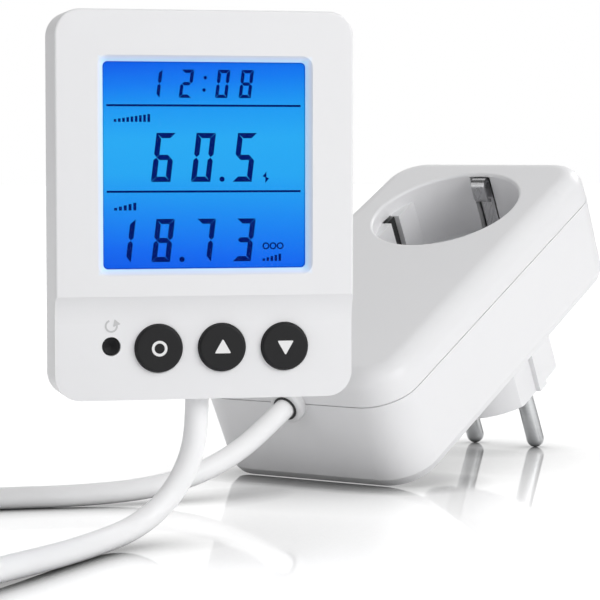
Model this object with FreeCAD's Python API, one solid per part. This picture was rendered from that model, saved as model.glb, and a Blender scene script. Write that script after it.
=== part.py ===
"""Plug-in energy meter: a plug-through socket housing and a wired display unit.

Millimetres, +Z up, the floor at Z = 0, the display facing -Y. The housing lies tilted, on the
lower edge of its cable end and on its two plug pins. The display stands upright on its lead.
"""
import FreeCAD
import Part
import math
import os

from FreeCAD import Vector as V

# Where things stand: the display's face, and the foot of the plug axis on the housing's underside
DISPLAY_X, DISPLAY_Y, DISPLAY_Z = -52.05, -89.5, 30.1
PLUG_X, PLUG_Y = 48.88, 55.13
HOUSING_HEADING = 42.16

# Display case: the window with its margins gives the width and the height
WINDOW_CLEAR = 41.9
SIDE_MARGIN, TOP_MARGIN, LOW_MARGIN = 9.85, 10.45, 5.5
PANEL_TOP = 21.15
DISPLAY_WIDTH = WINDOW_CLEAR + 2 * SIDE_MARGIN
DISPLAY_HEIGHT = PANEL_TOP + LOW_MARGIN + WINDOW_CLEAR + TOP_MARGIN
DISPLAY_DEPTH = 15.0
DISPLAY_CORNER = 5.2
CASE_WALL = 1.8
BACK_PLATE = 1.8
FACE_EDGE = 0.5
BACK_EDGE = 1.0
PANEL_SETBACK = 1.5
PANEL_COVE = 5.5

# Window, from the face inwards
WINDOW_BEVEL = 1.25
WINDOW_CORNER = 1.0
WINDOW_Z = PANEL_TOP + LOW_MARGIN + WINDOW_CLEAR / 2
BEVEL_DEPTH = 1.3
LENS_MARGIN, LENS_THICK = 1.4, 0.8
GLASS_MARGIN, GLASS_THICK, GLASS_LEDGE = 0.9, 2.2, 1.4
GUIDE_THICK = 2.5
FRAME_WALL, FRAME_SLACK = 0.9, 0.2
LED_LONG, LED_WIDE, LED_THICK = 3.0, 1.0, 1.4
LED_SPACING = 16.0

# Display board and what it carries
BOARD_THICK = 1.6
BOARD_SIDE_GAP, BOARD_TOP_GAP, BOARD_BOTTOM = 2.0, 0.8, 6.8
BOARD_WIDTH = DISPLAY_WIDTH - 2 * (CASE_WALL + BOARD_SIDE_GAP)
BOARD_TOP = DISPLAY_HEIGHT - CASE_WALL - BOARD_TOP_GAP
BOARD_CORNER = 1.5
BOSS_INSET = 4.4
BOSS_RADIUS = 2.3
BOSS_CLEARANCE = 0.3
CASE_SCREW_RADIUS, CASE_HEAD_RADIUS, CASE_HEAD_THICK = 1.0, 1.9, 1.0
CASE_SCREW_LENGTH = 8.5
SCREW_SLACK = 0.05
SWITCH_SIDE, SWITCH_THICK = 6.0, 2.5
CHIP_SIDE, CHIP_THICK = 9.0, 1.2
CELL_RADIUS, CELL_THICK = 5.8, 3.4
CELL_X, CELL_Z = 13.0, 26.0

# Keys
KEY_RADIUS = 4.87
KEY_CLEARANCE = 0.15
KEY_X, KEY_SPACING, KEY_Z = 3.46, 13.1, 10.5
KEY_PROUD = 1.1
KEY_EDGE = 0.6
KEY_TRAVEL = 0.5
KEY_RIM = 0.8
KEY_RIM_THICK = 0.6
KEY_STEM_RADIUS = 1.7
RESET_RADIUS = 1.75
RESET_CLEARANCE = 0.18
RESET_X, RESET_Z = -19.35, 11.0
RESET_SUNK = 0.7
SEAT_GAP = 0.25

# Back cover hanger
HANGER_RADIUS, HANGER_SLOT_RADIUS, HANGER_RISE = 3.75, 2.0, 7.0
HANGER_Z = DISPLAY_HEIGHT - 21.0

# Socket housing: x along it from the plug axis, y from pin to pin, z up from its underside
HOUSING_WIDTH = 60.0
CABLE_END, FAR_END = 84.15, 28.9
HOUSING_HEIGHT = 31.6
TOP_SHELL_HEIGHT = 8.55
SEAM_Z = HOUSING_HEIGHT - TOP_SHELL_HEIGHT
HOUSING_CORNER = 10.5
TOP_ROUND = 5.0
HOUSING_WALL = 2.2
WALL_DRAFT = 0.3
FOOT_BEVEL, FOOT_INSET = 2.3, 1.15
SEAM_GROOVE, SEAM_GROOVE_DEPTH = 0.3, 0.6
LIP_THICK, LIP_DROP, LIP_RISE, LIP_SLACK = 1.0, 1.5, 1.5, 0.15

# Socket recess in the top
RECESS_RADIUS, RECESS_DEPTH = 19.7, 17.5
RIM_ROUND = 0.8
WELL_WALL = 1.8
WELL_FLOOR = 2.0
GUIDE_FLAT, GUIDE_DROP, GUIDE_SLOT = 16.7, 3.8, 4.2
CLIP_SLOT, CLIP_SLOT_DROP = 6.2, 0.9
PIN_SPACING = 19.0
CONTACT_HOLE_RADIUS = 2.75

# Plug under the housing
PLUG_LENGTH = 22.8
PLUG_RADIUS = 18.4
PLUG_FLAT, PLUG_RIB_REACH, PLUG_RIB = 15.0, 16.3, 3.9
PLUG_EDGE = 0.8
PLUG_WALL, PLUG_FACE_WALL = 1.5, 2.5
PLUG_CAVITY_RADIUS = PLUG_FLAT - PLUG_WALL
PIN_RADIUS, PIN_LENGTH, PIN_INSIDE = 2.4, 19.0, 7.0
PIN_TAIL_RADIUS, PIN_COLLAR, PIN_COLLAR_THICK = 2.0, 3.1, 1.5
EARTH_GROOVE, EARTH_GROOVE_DEPTH, EARTH_GROOVE_LENGTH = 4.6, 1.3, 15.0
EARTH_STRIP_WIDTH, EARTH_STRIP_THICK = 4.0, 1.1

# Inside the housing
CARRIER_SLACK = 0.25
CARRIER_DROP = 0.8
TULIP_LENGTH, TULIP_WALL, TULIP_SLIT = 14.0, 0.6, 1.0
TULIP_SLACK = 0.1
SHUTTER_RADIUS, SHUTTER_THICK = 14.0, 1.8
SHUTTER_HOLE_RADIUS = 3.0
SHUTTER_CLOSED_TURN = 40.0
SHUTTER_POST_RADIUS, SHUTTER_POST_SLACK = 2.4, 0.06
SPRING_WIRE = 0.6
CLIP_WIDTH, CLIP_THICK = 4.0, 0.8
CLIP_HEAD_RADIUS, CLIP_NOSE = 1.2, 2.9
CLIP_FOOT = 5.0
HOUSING_SCREW_SPOTS = [(-72.5, 21.5), (-72.5, -21.5), (20.5, 21.5), (20.5, -21.5)]
TOWER_RADIUS, TOWER_HEIGHT, POST_RADIUS = 4.0, 8.0, 3.0
HOUSING_SCREW_RADIUS, HOUSING_HEAD_RADIUS, HOUSING_HEAD_THICK = 1.3, 2.6, 1.8
HOUSING_SCREW_LENGTH, SCREW_HEAD_DEPTH = 14.0, 4.0
METER_BOARD = (-62.0, -25.5, 46.0)
METER_BOARD_Z = 7.0
METER_POST_RADIUS = 2.0
METER_POST_INSET = 4.5

# What the metering board carries: the place of each on the board, then its size
FILM_CAPACITOR_AT, FILM_CAPACITOR = (-54.0, -5.0), (8.0, 18.0, 11.0)
ROUND_CAPACITOR_AT, ROUND_CAPACITOR_RADIUS, ROUND_CAPACITOR_HEIGHT = (-42.0, 12.0), 4.0, 11.0
SURGE_DISC_AT, SURGE_DISC_RADIUS, SURGE_DISC_THICK = (-42.0, -12.0), 5.0, 4.0
SHUNT_AT, SHUNT, SHUNT_GAUGE = (-34.0, 0.0), (10.0, 4.0, 6.0), 1.0
METER_CHIP_AT, METER_CHIP = (-32.5, 12.5), (7.0, 7.0, 1.6)
COMPONENT_EDGE = 0.7

# Cord, gland and clamp
CORD_RADIUS = 2.5
CORD_SLACK = 0.1
ARC_SHARE = 0.45
CORD_X, CORD_DEPTH = -0.45, 8.0
GLAND_RADIUS, GLAND_PROUD, GLAND_ROUND = 4.4, 2.5, 0.9
GLAND_NECK_RADIUS, GLAND_INNER_THICK = 3.4, 1.5
CLAMP_X, CLAMP_LONG, CLAMP_THICK, CLAMP_REACH = -74.0, 6.0, 2.0, 8.5
CLAMP_POST_RADIUS = 2.2
GROMMET_RADIUS, GROMMET_LENGTH = 3.6, 3.6

# Coil of put-away cord, two layers of turns, on the floor beside the display
COIL_X, COIL_Y = -145.0, -122.4
COIL_RADIUS = 30.0
COIL_TURNS = 6.43
COIL_START_ANGLE = -39.0
CLIMB_TURNS = 0.5
POINTS_PER_TURN = 200
TURN_PITCH, LAYER_PITCH = 5.55, 5.55
TIE_THICK, TIE_WIDTH, TIE_SLACK = 0.6, 5.0, 0.3
TIE_CORNER, TIE_ANGLE = 2.0, 60.0

# How far the cord runs straight out of the display and the gland, and into the coil
DISPLAY_EXIT, GLAND_EXIT = 4.1, 12.0
COIL_ENTRY, COIL_LEAVE = 20.0, 12.0

# The chosen points of each free stretch between those straight ends, from its housing to the coil
ROUTE_TO_DISPLAY = [
    (-53.5, -81.5, 18.2), (-56.6, -81.8, 11.6), (-61.4, -83.5, 6.6), (-67.3, -87.3, 3.6),
    (-73.9, -93.9, 2.5), (-84.8, -109.5, 2.5),
]
ROUTE_TO_SOCKET = [
    (-32.1, -17.2, 9.3), (-42.1, -22.2, 5.5), (-54.1, -25.5, 3.3), (-70.1, -27.1, 2.5),
    (-87.6, -26.9, 2.5), (-108.1, -29.2, 2.5), (-129.1, -37.0, 2.5), (-148.1, -49.5, 2.5),
    (-163.1, -65.0, 2.7), (-172.6, -80.5, 5.2),
]

PARTS = "parts"
EPS = 1.0


def rounded_rectangle(x0, x1, y0, y1, radius, z):
    """A closed outline with round corners, flat at height z."""
    d = radius * math.sqrt(0.5)
    corners = [(x1 - radius, y0 + radius, 1, -1), (x1 - radius, y1 - radius, 1, 1),
               (x0 + radius, y1 - radius, -1, 1), (x0 + radius, y0 + radius, -1, -1)]
    arcs = []
    for cx, cy, sx, sy in corners:
        first = V(cx, cy + sy * radius, z)
        second = V(cx + sx * radius, cy, z)
        start, end = (first, second) if sx * sy < 0 else (second, first)
        arcs.append(Part.Arc(start, V(cx + sx * d, cy + sy * d, z), end))
    edges = []
    for i, arc in enumerate(arcs):
        edges.append(arc.toShape())
        a, b = arc.EndPoint, arcs[(i + 1) % 4].StartPoint
        edges.append(Part.LineSegment(a, b).toShape())
    return Part.Wire(edges)


def slab(outline, height):
    """The outline raised straight up by height."""
    return Part.Face(outline).extrude(V(0, 0, height))


def box(x0, x1, y0, y1, z0, z1):
    return Part.makeBox(x1 - x0, y1 - y0, z1 - z0, V(x0, y0, z0))


def cylinder(radius, z0, z1, x=0.0, y=0.0):
    return Part.makeCylinder(radius, z1 - z0, V(x, y, z0))


def fillet(solid, radius, chosen):
    """Round the edges that the test picks."""
    edges = [e for e in solid.Edges if chosen(e)]
    return solid.makeFillet(radius, edges)


def lies_at(edge, z):
    """Whether all of an edge lies at height z."""
    return abs(edge.BoundBox.ZMin - z) < 1e-4 and abs(edge.BoundBox.ZMax - z) < 1e-4


def upright(shape):
    """Turn a shape built flat, z as depth, so that its depth runs along +Y and its y runs up."""
    turned = shape.copy()
    turned.rotate(V(0, 0, 0), V(1, 0, 0), -90)
    return turned.mirror(V(0, 0, 0), V(0, 0, 1))


def on_display(shape):
    """Stand a display piece in its place. It is built with x right, y up and z as depth."""
    placed = upright(shape)
    placed.translate(V(DISPLAY_X, DISPLAY_Y, DISPLAY_Z))
    return placed


def housing_tilt():
    """The tilt at which the cable end's lower edge and both pin tips touch the floor."""
    edge = CABLE_END - FOOT_INSET
    drop = PLUG_LENGTH + PIN_LENGTH - PIN_RADIUS
    reach = math.hypot(edge, drop)
    return math.degrees(math.atan2(drop, edge) + math.asin(PIN_RADIUS / reach))


def housing_lift():
    return (CABLE_END - FOOT_INSET) * math.sin(math.radians(housing_tilt()))


def housing_placement():
    tilt = FreeCAD.Rotation(V(0, 1, 0), -housing_tilt())
    heading = FreeCAD.Rotation(V(0, 0, 1), HOUSING_HEADING)
    return FreeCAD.Placement(V(PLUG_X, PLUG_Y, housing_lift()), heading.multiply(tilt))


def in_housing(shape):
    """Lay a housing piece in its place."""
    placed = shape.copy()
    placed.Placement = housing_placement().multiply(placed.Placement)
    return placed


# Depths inside the display, from its face
LENS_Y = CASE_WALL
GLASS_Y = LENS_Y + LENS_THICK
GUIDE_Y = GLASS_Y + GLASS_THICK
BOARD_Y = GUIDE_Y + GUIDE_THICK
BACK_Y = DISPLAY_DEPTH - BACK_PLATE
PANEL_BACK = PANEL_SETBACK + CASE_WALL


def case_outline(inset, z):
    half = DISPLAY_WIDTH / 2 - inset
    return rounded_rectangle(-half, half, inset, DISPLAY_HEIGHT - inset,
                             DISPLAY_CORNER - min(inset, DISPLAY_CORNER / 2), z)


def window_outline(grow, radius, z):
    half = WINDOW_CLEAR / 2 + grow
    return rounded_rectangle(-half, half, WINDOW_Z - half, WINDOW_Z + half, radius, z)


def boss_spots():
    x = DISPLAY_WIDTH / 2 - BOSS_INSET
    return [(side * x, y) for side in (-1, 1) for y in (BOSS_INSET, DISPLAY_HEIGHT - BOSS_INSET)]


def key_spots():
    return {"set_button": KEY_X - KEY_SPACING, "up_button": KEY_X, "down_button": KEY_X + KEY_SPACING}


def panel_step(half):
    """What is cut away in front of the key panel, whose top curves out to the face in a long cove."""
    radius = (PANEL_COVE ** 2 + PANEL_SETBACK ** 2) / (2 * PANEL_SETBACK)
    turn = math.asin(PANEL_COVE / radius)
    foot = PANEL_TOP - PANEL_COVE
    middle = V(-half, foot + radius * math.sin(turn / 2), PANEL_SETBACK - radius * (1 - math.cos(turn / 2)))
    p = [V(-half, -EPS, -EPS), V(-half, -EPS, PANEL_SETBACK), V(-half, foot, PANEL_SETBACK),
         V(-half, PANEL_TOP, 0), V(-half, PANEL_TOP, -EPS)]
    edges = [Part.LineSegment(p[0], p[1]).toShape(), Part.LineSegment(p[1], p[2]).toShape(),
             Part.Arc(p[2], middle, p[3]).toShape(), Part.LineSegment(p[3], p[4]).toShape(),
             Part.LineSegment(p[4], p[0]).toShape()]
    return Part.Face(Part.Wire(edges)).extrude(V(2 * half, 0, 0))


def display_front_cover():
    """A deep tray with a bevelled window, a set-back key panel and four screw bosses."""
    tray = slab(case_outline(0, 0), BACK_Y)
    half = DISPLAY_WIDTH / 2 + EPS
    tray = tray.cut(panel_step(half))
    tray = fillet(tray, FACE_EDGE, lambda e: lies_at(e, 0) and e.BoundBox.YMax > PANEL_TOP + 0.1)
    inner = slab(case_outline(CASE_WALL, CASE_WALL), DISPLAY_DEPTH)
    thick_panel = box(-half, half, -EPS, PANEL_TOP + CASE_WALL, 0, PANEL_BACK)
    hollow = inner.cut(thick_panel)
    cover = tray.cut(hollow)
    bosses = [cylinder(BOSS_RADIUS, CASE_WALL, BACK_Y, x, y) for x, y in boss_spots()]
    inside = slab(case_outline(CASE_WALL / 2, CASE_WALL / 2), BACK_Y)
    cover = cover.fuse([b.common(inside) for b in bosses])
    bevel = Part.makeLoft([window_outline(WINDOW_BEVEL, WINDOW_CORNER + WINDOW_BEVEL, 0),
                           window_outline(0, WINDOW_CORNER, BEVEL_DEPTH)], True, True)
    through = slab(window_outline(0, WINDOW_CORNER, BEVEL_DEPTH), CASE_WALL)
    cuts = [bevel, through]
    for x in key_spots().values():
        cuts.append(cylinder(KEY_RADIUS + KEY_CLEARANCE, 0, PANEL_BACK + EPS, x, KEY_Z))
    cuts.append(cylinder(RESET_RADIUS + RESET_CLEARANCE, 0, PANEL_BACK + EPS, RESET_X, RESET_Z))
    screw_end = DISPLAY_DEPTH - CASE_HEAD_THICK - CASE_SCREW_LENGTH
    for x, y in boss_spots():
        cuts.append(cylinder(CASE_SCREW_RADIUS + SCREW_SLACK, screw_end - SEAT_GAP, BACK_Y + EPS, x, y))
    entry = Part.makeCylinder(CORD_RADIUS + CORD_SLACK, CASE_WALL + 2 * EPS,
                              V(CORD_X, -EPS, CORD_DEPTH), V(0, 1, 0))
    cuts.append(entry)
    return cover.cut(cuts).removeSplitter()


def display_back_cover():
    """A flat plate with a locating lip, four screw seats and a keyhole to hang it on a wall."""
    plate = slab(case_outline(0, BACK_Y), BACK_PLATE)
    plate = fillet(plate, BACK_EDGE, lambda e: lies_at(e, DISPLAY_DEPTH))
    gap = CASE_WALL + LIP_SLACK
    lip = slab(case_outline(gap, BACK_Y - LIP_DROP), LIP_DROP)
    lip = lip.cut(slab(case_outline(gap + LIP_THICK, BACK_Y - LIP_DROP), LIP_DROP))
    keep_clear = [cylinder(BOSS_RADIUS + BOSS_CLEARANCE, BACK_Y - LIP_DROP, BACK_Y, x, y)
                  for x, y in boss_spots()]
    plate = plate.fuse(lip.cut(keep_clear))
    cuts = []
    for x, y in boss_spots():
        cuts.append(cylinder(CASE_SCREW_RADIUS + 2 * SCREW_SLACK, BACK_Y - EPS, DISPLAY_DEPTH + EPS, x, y))
        cuts.append(cylinder(CASE_HEAD_RADIUS + 2 * SCREW_SLACK, DISPLAY_DEPTH - CASE_HEAD_THICK,
                             DISPLAY_DEPTH + EPS, x, y))
    cuts.append(cylinder(HANGER_RADIUS, BACK_Y - EPS, DISPLAY_DEPTH + EPS, 0, HANGER_Z))
    cuts.append(box(-HANGER_SLOT_RADIUS, HANGER_SLOT_RADIUS, HANGER_Z, HANGER_Z + HANGER_RISE,
                    BACK_Y - EPS, DISPLAY_DEPTH + EPS))
    cuts.append(cylinder(HANGER_SLOT_RADIUS, BACK_Y - EPS, DISPLAY_DEPTH + EPS, 0, HANGER_Z + HANGER_RISE))
    return plate.cut(cuts).removeSplitter()


def display_screws():
    """Four pan-head screws that hold the back cover to the bosses."""
    screws = []
    seat = DISPLAY_DEPTH - CASE_HEAD_THICK
    for x, y in boss_spots():
        head = cylinder(CASE_HEAD_RADIUS, seat, DISPLAY_DEPTH - SCREW_SLACK, x, y)
        shank = cylinder(CASE_SCREW_RADIUS, seat - CASE_SCREW_LENGTH, seat, x, y)
        screws.append(head.fuse(shank).removeSplitter())
    return Part.makeCompound(screws)


def window_lens():
    return slab(window_outline(LENS_MARGIN, WINDOW_CORNER, LENS_Y), LENS_THICK)


def glass_box(grow, z0, z1):
    half = WINDOW_CLEAR / 2 + GLASS_MARGIN + grow
    return box(-half, half, WINDOW_Z - half - GLASS_LEDGE, WINDOW_Z + half, z0, z1)


def lcd_glass():
    """Two glass plates; the rear one has a ledge along the bottom for the contact strip."""
    half = WINDOW_CLEAR / 2 + GLASS_MARGIN
    front = box(-half, half, WINDOW_Z - half, WINDOW_Z + half, GLASS_Y, GUIDE_Y)
    ledge = box(-half, half, WINDOW_Z - half - GLASS_LEDGE, WINDOW_Z - half,
                GLASS_Y, GLASS_Y + GLASS_THICK / 2)
    return front.fuse(ledge).removeSplitter()


def light_guide():
    """A clear plate behind the glass, with two pockets in its top edge for the lamps."""
    half = WINDOW_CLEAR / 2 + GLASS_MARGIN
    plate = box(-half, half, WINDOW_Z - half, WINDOW_Z + half, GUIDE_Y, BOARD_Y)
    pockets = [box(x - LED_LONG / 2 - FRAME_SLACK, x + LED_LONG / 2 + FRAME_SLACK,
                   WINDOW_Z + half - LED_WIDE - FRAME_SLACK, WINDOW_Z + half + EPS,
                   BOARD_Y - LED_THICK - FRAME_SLACK, BOARD_Y + EPS) for x in led_spots()]
    return plate.cut(pockets)


def led_spots():
    return [-LED_SPACING / 2, LED_SPACING / 2]


def backlight_leds():
    half = WINDOW_CLEAR / 2 + GLASS_MARGIN
    top = WINDOW_Z + half
    return Part.makeCompound([box(x - LED_LONG / 2, x + LED_LONG / 2, top - LED_WIDE, top,
                                  BOARD_Y - LED_THICK, BOARD_Y) for x in led_spots()])


def contact_strip():
    """The rubber strip that joins the glass ledge to the board."""
    half = WINDOW_CLEAR / 2 + GLASS_MARGIN
    low = WINDOW_Z - half - GLASS_LEDGE
    return box(-half + FRAME_SLACK, half - FRAME_SLACK, low + FRAME_SLACK, WINDOW_Z - half - FRAME_SLACK,
               GLASS_Y + GLASS_THICK / 2, BOARD_Y)


def lcd_frame():
    """The moulded frame round the glass and the light guide."""
    outer = glass_box(FRAME_SLACK + FRAME_WALL, GLASS_Y, BOARD_Y)
    inner = glass_box(FRAME_SLACK, GLASS_Y - EPS, BOARD_Y + EPS)
    return outer.cut(inner)


def display_board():
    half = BOARD_WIDTH / 2
    board = slab(rounded_rectangle(-half, half, BOARD_BOTTOM, BOARD_TOP, BOARD_CORNER, BOARD_Y), BOARD_THICK)
    return board.cut([cylinder(BOSS_RADIUS + BOSS_CLEARANCE, BOARD_Y - EPS, BOARD_Y + BOARD_THICK + EPS, x, y)
                      for x, y in boss_spots()])


def key_switches():
    """Four switches on the board, each with a round well for its key's stem."""
    spots = [(x, KEY_Z) for x in key_spots().values()] + [(RESET_X, RESET_Z)]
    switches = []
    for x, y in spots:
        half = SWITCH_SIDE / 2
        body = box(x - half, x + half, y - half, y + half, BOARD_Y - SWITCH_THICK, BOARD_Y)
        well = cylinder(KEY_STEM_RADIUS + SEAT_GAP, BOARD_Y - SWITCH_THICK - EPS, BOARD_Y - SEAT_GAP, x, y)
        switches.append(body.cut(well))
    return Part.makeCompound(switches)


def controller_chip():
    half = CHIP_SIDE / 2
    low = BOARD_Y + BOARD_THICK
    return box(-CELL_X - half, -CELL_X + half, CELL_Z - half, CELL_Z + half, low, low + CHIP_THICK)


def backup_cell():
    """A button cell lying on the board's rear face, its rim stepped."""
    low = BOARD_Y + BOARD_THICK
    can = cylinder(CELL_RADIUS, low, low + CELL_THICK * 0.8, CELL_X, CELL_Z)
    return can.fuse(cylinder(CELL_RADIUS * 0.88, low, low + CELL_THICK, CELL_X, CELL_Z)).removeSplitter()


def stem_end():
    """How deep a pressed stem may reach: it stops a gap short of the switch's floor."""
    return BOARD_Y - 2 * SEAT_GAP - KEY_TRAVEL


def key(x):
    """A round cap with a rounded edge, a retaining rim and the stem that works its switch."""
    cap = cylinder(KEY_RADIUS, PANEL_SETBACK - KEY_PROUD, PANEL_BACK + SEAT_GAP, x, KEY_Z)
    cap = fillet(cap, KEY_EDGE, lambda e: lies_at(e, PANEL_SETBACK - KEY_PROUD))
    rim_low = PANEL_BACK + SEAT_GAP
    rim = cylinder(KEY_RADIUS + KEY_RIM, rim_low, rim_low + KEY_RIM_THICK, x, KEY_Z)
    stem = cylinder(KEY_STEM_RADIUS, rim_low, stem_end(), x, KEY_Z)
    return cap.fuse([rim, stem]).removeSplitter()


def reset_button():
    """A small plunger sunk in its hole, with a cone in its end that guides a pin."""
    face = PANEL_SETBACK + RESET_SUNK
    plunger = cylinder(RESET_RADIUS, face, PANEL_BACK + SEAT_GAP, RESET_X, RESET_Z)
    cone = Part.makeCone(RESET_RADIUS * 0.85, 0.2, RESET_RADIUS / 2, V(RESET_X, RESET_Z, face))
    rim_low = PANEL_BACK + SEAT_GAP
    rim = cylinder(RESET_RADIUS + KEY_RIM, rim_low, rim_low + KEY_RIM_THICK, RESET_X, RESET_Z)
    stem = cylinder(KEY_STEM_RADIUS, rim_low, stem_end(), RESET_X, RESET_Z)
    return plunger.cut(cone).fuse([rim, stem]).removeSplitter()


def display_cord_grommet():
    """A bush inside the case that grips the cord where it comes through the bottom wall."""
    low = CASE_WALL
    at = V(CORD_X, low, CORD_DEPTH)
    bush = Part.makeCylinder(GROMMET_RADIUS, GROMMET_LENGTH, at, V(0, 1, 0))
    return bush.cut(Part.makeCylinder(CORD_RADIUS + CORD_SLACK, GROMMET_LENGTH, at, V(0, 1, 0)))


def housing_outline(inset, z, draft=0.0):
    half = HOUSING_WIDTH / 2 - inset - draft
    return rounded_rectangle(-CABLE_END + inset + draft, FAR_END - inset - draft, -half, half,
                             HOUSING_CORNER - min(inset, HOUSING_CORNER / 2), z)


RECESS_FLOOR = HOUSING_HEIGHT - RECESS_DEPTH
WELL_BOTTOM = RECESS_FLOOR - WELL_FLOOR
CARRIER_TOP = WELL_BOTTOM - SEAT_GAP - SHUTTER_THICK - CARRIER_DROP
PLUG_FACE = -PLUG_LENGTH
CAVITY_FLOOR = PLUG_FACE + PLUG_FACE_WALL
CORD_AXIS_Z = SEAM_Z


def pin_spots():
    return [-PIN_SPACING / 2, PIN_SPACING / 2]


def recess_cut():
    """The recess with its rounded rim, as a turned form."""
    top, r = HOUSING_HEIGHT, RECESS_RADIUS
    bend = RIM_ROUND * (1 - math.sqrt(0.5))
    p = [V(0, 0, RECESS_FLOOR), V(r, 0, RECESS_FLOOR), V(r, 0, top - RIM_ROUND),
         V(r + RIM_ROUND, 0, top), V(r + RIM_ROUND, 0, top + EPS), V(0, 0, top + EPS)]
    edges = [Part.LineSegment(p[0], p[1]).toShape(), Part.LineSegment(p[1], p[2]).toShape(),
             Part.Arc(p[2], V(r + bend, 0, top - bend), p[3]).toShape(),
             Part.LineSegment(p[3], p[4]).toShape(), Part.LineSegment(p[4], p[5]).toShape(),
             Part.LineSegment(p[5], p[0]).toShape()]
    return Part.Face(Part.Wire(edges)).revolve(V(0, 0, 0), V(0, 0, 1), 360)


def guide_blocks():
    """Two flat-faced blocks in the recess, on the line of the pins."""
    ring = cylinder(RECESS_RADIUS + WELL_WALL / 2, RECESS_FLOOR - WELL_FLOOR / 2,
                    HOUSING_HEIGHT - GUIDE_DROP)
    reach = RECESS_RADIUS + EPS
    return ring.cut(box(-reach * 2, reach * 2, -GUIDE_FLAT, GUIDE_FLAT, 0, HOUSING_HEIGHT)).Solids


def guide_slots():
    """The slot in each guide block, open through the wall of the well."""
    reach = RECESS_RADIUS + WELL_WALL + EPS
    slots = box(-GUIDE_SLOT / 2, GUIDE_SLOT / 2, -reach, reach, RECESS_FLOOR, HOUSING_HEIGHT - GUIDE_DROP)
    middle = RECESS_RADIUS - WELL_WALL * 2
    return slots.cut(box(-GUIDE_SLOT, GUIDE_SLOT, -middle, middle, 0, HOUSING_HEIGHT)).Solids


def socket_top_shell():
    """The upper half: rounded cover, socket recess, guide blocks, clip slots and screw posts."""
    top = HOUSING_HEIGHT
    outer = Part.makeLoft([housing_outline(0, SEAM_Z), housing_outline(0, top, WALL_DRAFT)], True, True)
    outer = fillet(outer, TOP_ROUND, lambda e: lies_at(e, top))
    ceiling = top - HOUSING_WALL
    inner = slab(housing_outline(HOUSING_WALL, SEAM_Z - EPS, WALL_DRAFT), ceiling - SEAM_Z + EPS)
    inner = fillet(inner, TOP_ROUND - HOUSING_WALL, lambda e: lies_at(e, ceiling))
    shell = outer.cut(inner)
    ledge = slab(housing_outline(HOUSING_WALL, SEAM_Z), LIP_RISE)
    outside_lip = HOUSING_WALL + LIP_SLACK + WALL_DRAFT
    ledge = ledge.fuse(slab(housing_outline(outside_lip, SEAM_Z - LIP_DROP), LIP_DROP))
    lip = ledge.cut(slab(housing_outline(outside_lip + LIP_THICK, SEAM_Z - LIP_DROP - EPS),
                         LIP_DROP + LIP_RISE + 2 * EPS))
    well = cylinder(RECESS_RADIUS + WELL_WALL, WELL_BOTTOM, ceiling + HOUSING_WALL / 2)
    posts = [cylinder(POST_RADIUS, TOWER_HEIGHT, ceiling + HOUSING_WALL / 2, x, y)
             for x, y in HOUSING_SCREW_SPOTS]
    pivot = cylinder(SHUTTER_POST_RADIUS, CARRIER_TOP, WELL_BOTTOM + WELL_FLOOR / 2)
    shell = shell.fuse([lip, well, pivot] + posts)
    shell = shell.cut(recess_cut()).fuse(guide_blocks())
    cuts = guide_slots()
    slot_top = top - CLIP_SLOT_DROP
    for side in (-1, 1):
        x0, x1 = sorted([side * (RECESS_RADIUS - EPS), side * (RECESS_RADIUS + WELL_WALL + EPS)])
        cuts.append(box(x0, x1, -CLIP_SLOT / 2, CLIP_SLOT / 2, RECESS_FLOOR, slot_top))
        x0, x1 = sorted([side * (RECESS_RADIUS - CLIP_THICK), side * (RECESS_RADIUS + WELL_WALL + EPS)])
        cuts.append(box(x0, x1, -CLIP_SLOT / 2, CLIP_SLOT / 2, WELL_BOTTOM - EPS, RECESS_FLOOR + EPS))
    for y in pin_spots():
        cuts.append(cylinder(CONTACT_HOLE_RADIUS, WELL_BOTTOM - EPS, RECESS_FLOOR + EPS, 0, y))
    for x, y in HOUSING_SCREW_SPOTS:
        cuts.append(cylinder(HOUSING_SCREW_RADIUS + SCREW_SLACK, TOWER_HEIGHT - EPS,
                             SCREW_HEAD_DEPTH + HOUSING_SCREW_LENGTH + EPS, x, y))
    cuts.append(gland_hole())
    return shell.cut(cuts).removeSplitter()


def gland_hole():
    inside = 2 * (HOUSING_WALL + LIP_THICK) + GLAND_INNER_THICK
    hole = Part.makeCylinder(GLAND_NECK_RADIUS + CORD_SLACK, HOUSING_WALL + 2 * EPS,
                             V(-CABLE_END - EPS, 0, CORD_AXIS_Z), V(1, 0, 0))
    room = Part.makeCylinder(GLAND_RADIUS + 2 * CORD_SLACK, inside,
                             V(-CABLE_END + HOUSING_WALL, 0, CORD_AXIS_Z), V(1, 0, 0))
    return hole.fuse(room)


def plug_body():
    """The round plug with flats and ribs on the line of the pins."""
    reach = PLUG_RADIUS + EPS
    body = cylinder(PLUG_RADIUS, PLUG_FACE, HOUSING_WALL)
    body = fillet(body, PLUG_EDGE, lambda e: lies_at(e, PLUG_FACE))
    body = body.common(box(-reach, reach, -PLUG_FLAT, PLUG_FLAT, PLUG_FACE - EPS, HOUSING_WALL))
    body = body.fuse(box(-PLUG_RIB / 2, PLUG_RIB / 2, -PLUG_RIB_REACH, PLUG_RIB_REACH, PLUG_FACE,
                         HOUSING_WALL))
    for side in (-1, 1):
        x0, x1 = sorted([side * (PLUG_RADIUS - EARTH_GROOVE_DEPTH), side * reach])
        body = body.cut(box(x0, x1, -EARTH_GROOVE / 2, EARTH_GROOVE / 2, PLUG_FACE - EPS,
                            PLUG_FACE + EARTH_GROOVE_LENGTH))
    return body


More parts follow.
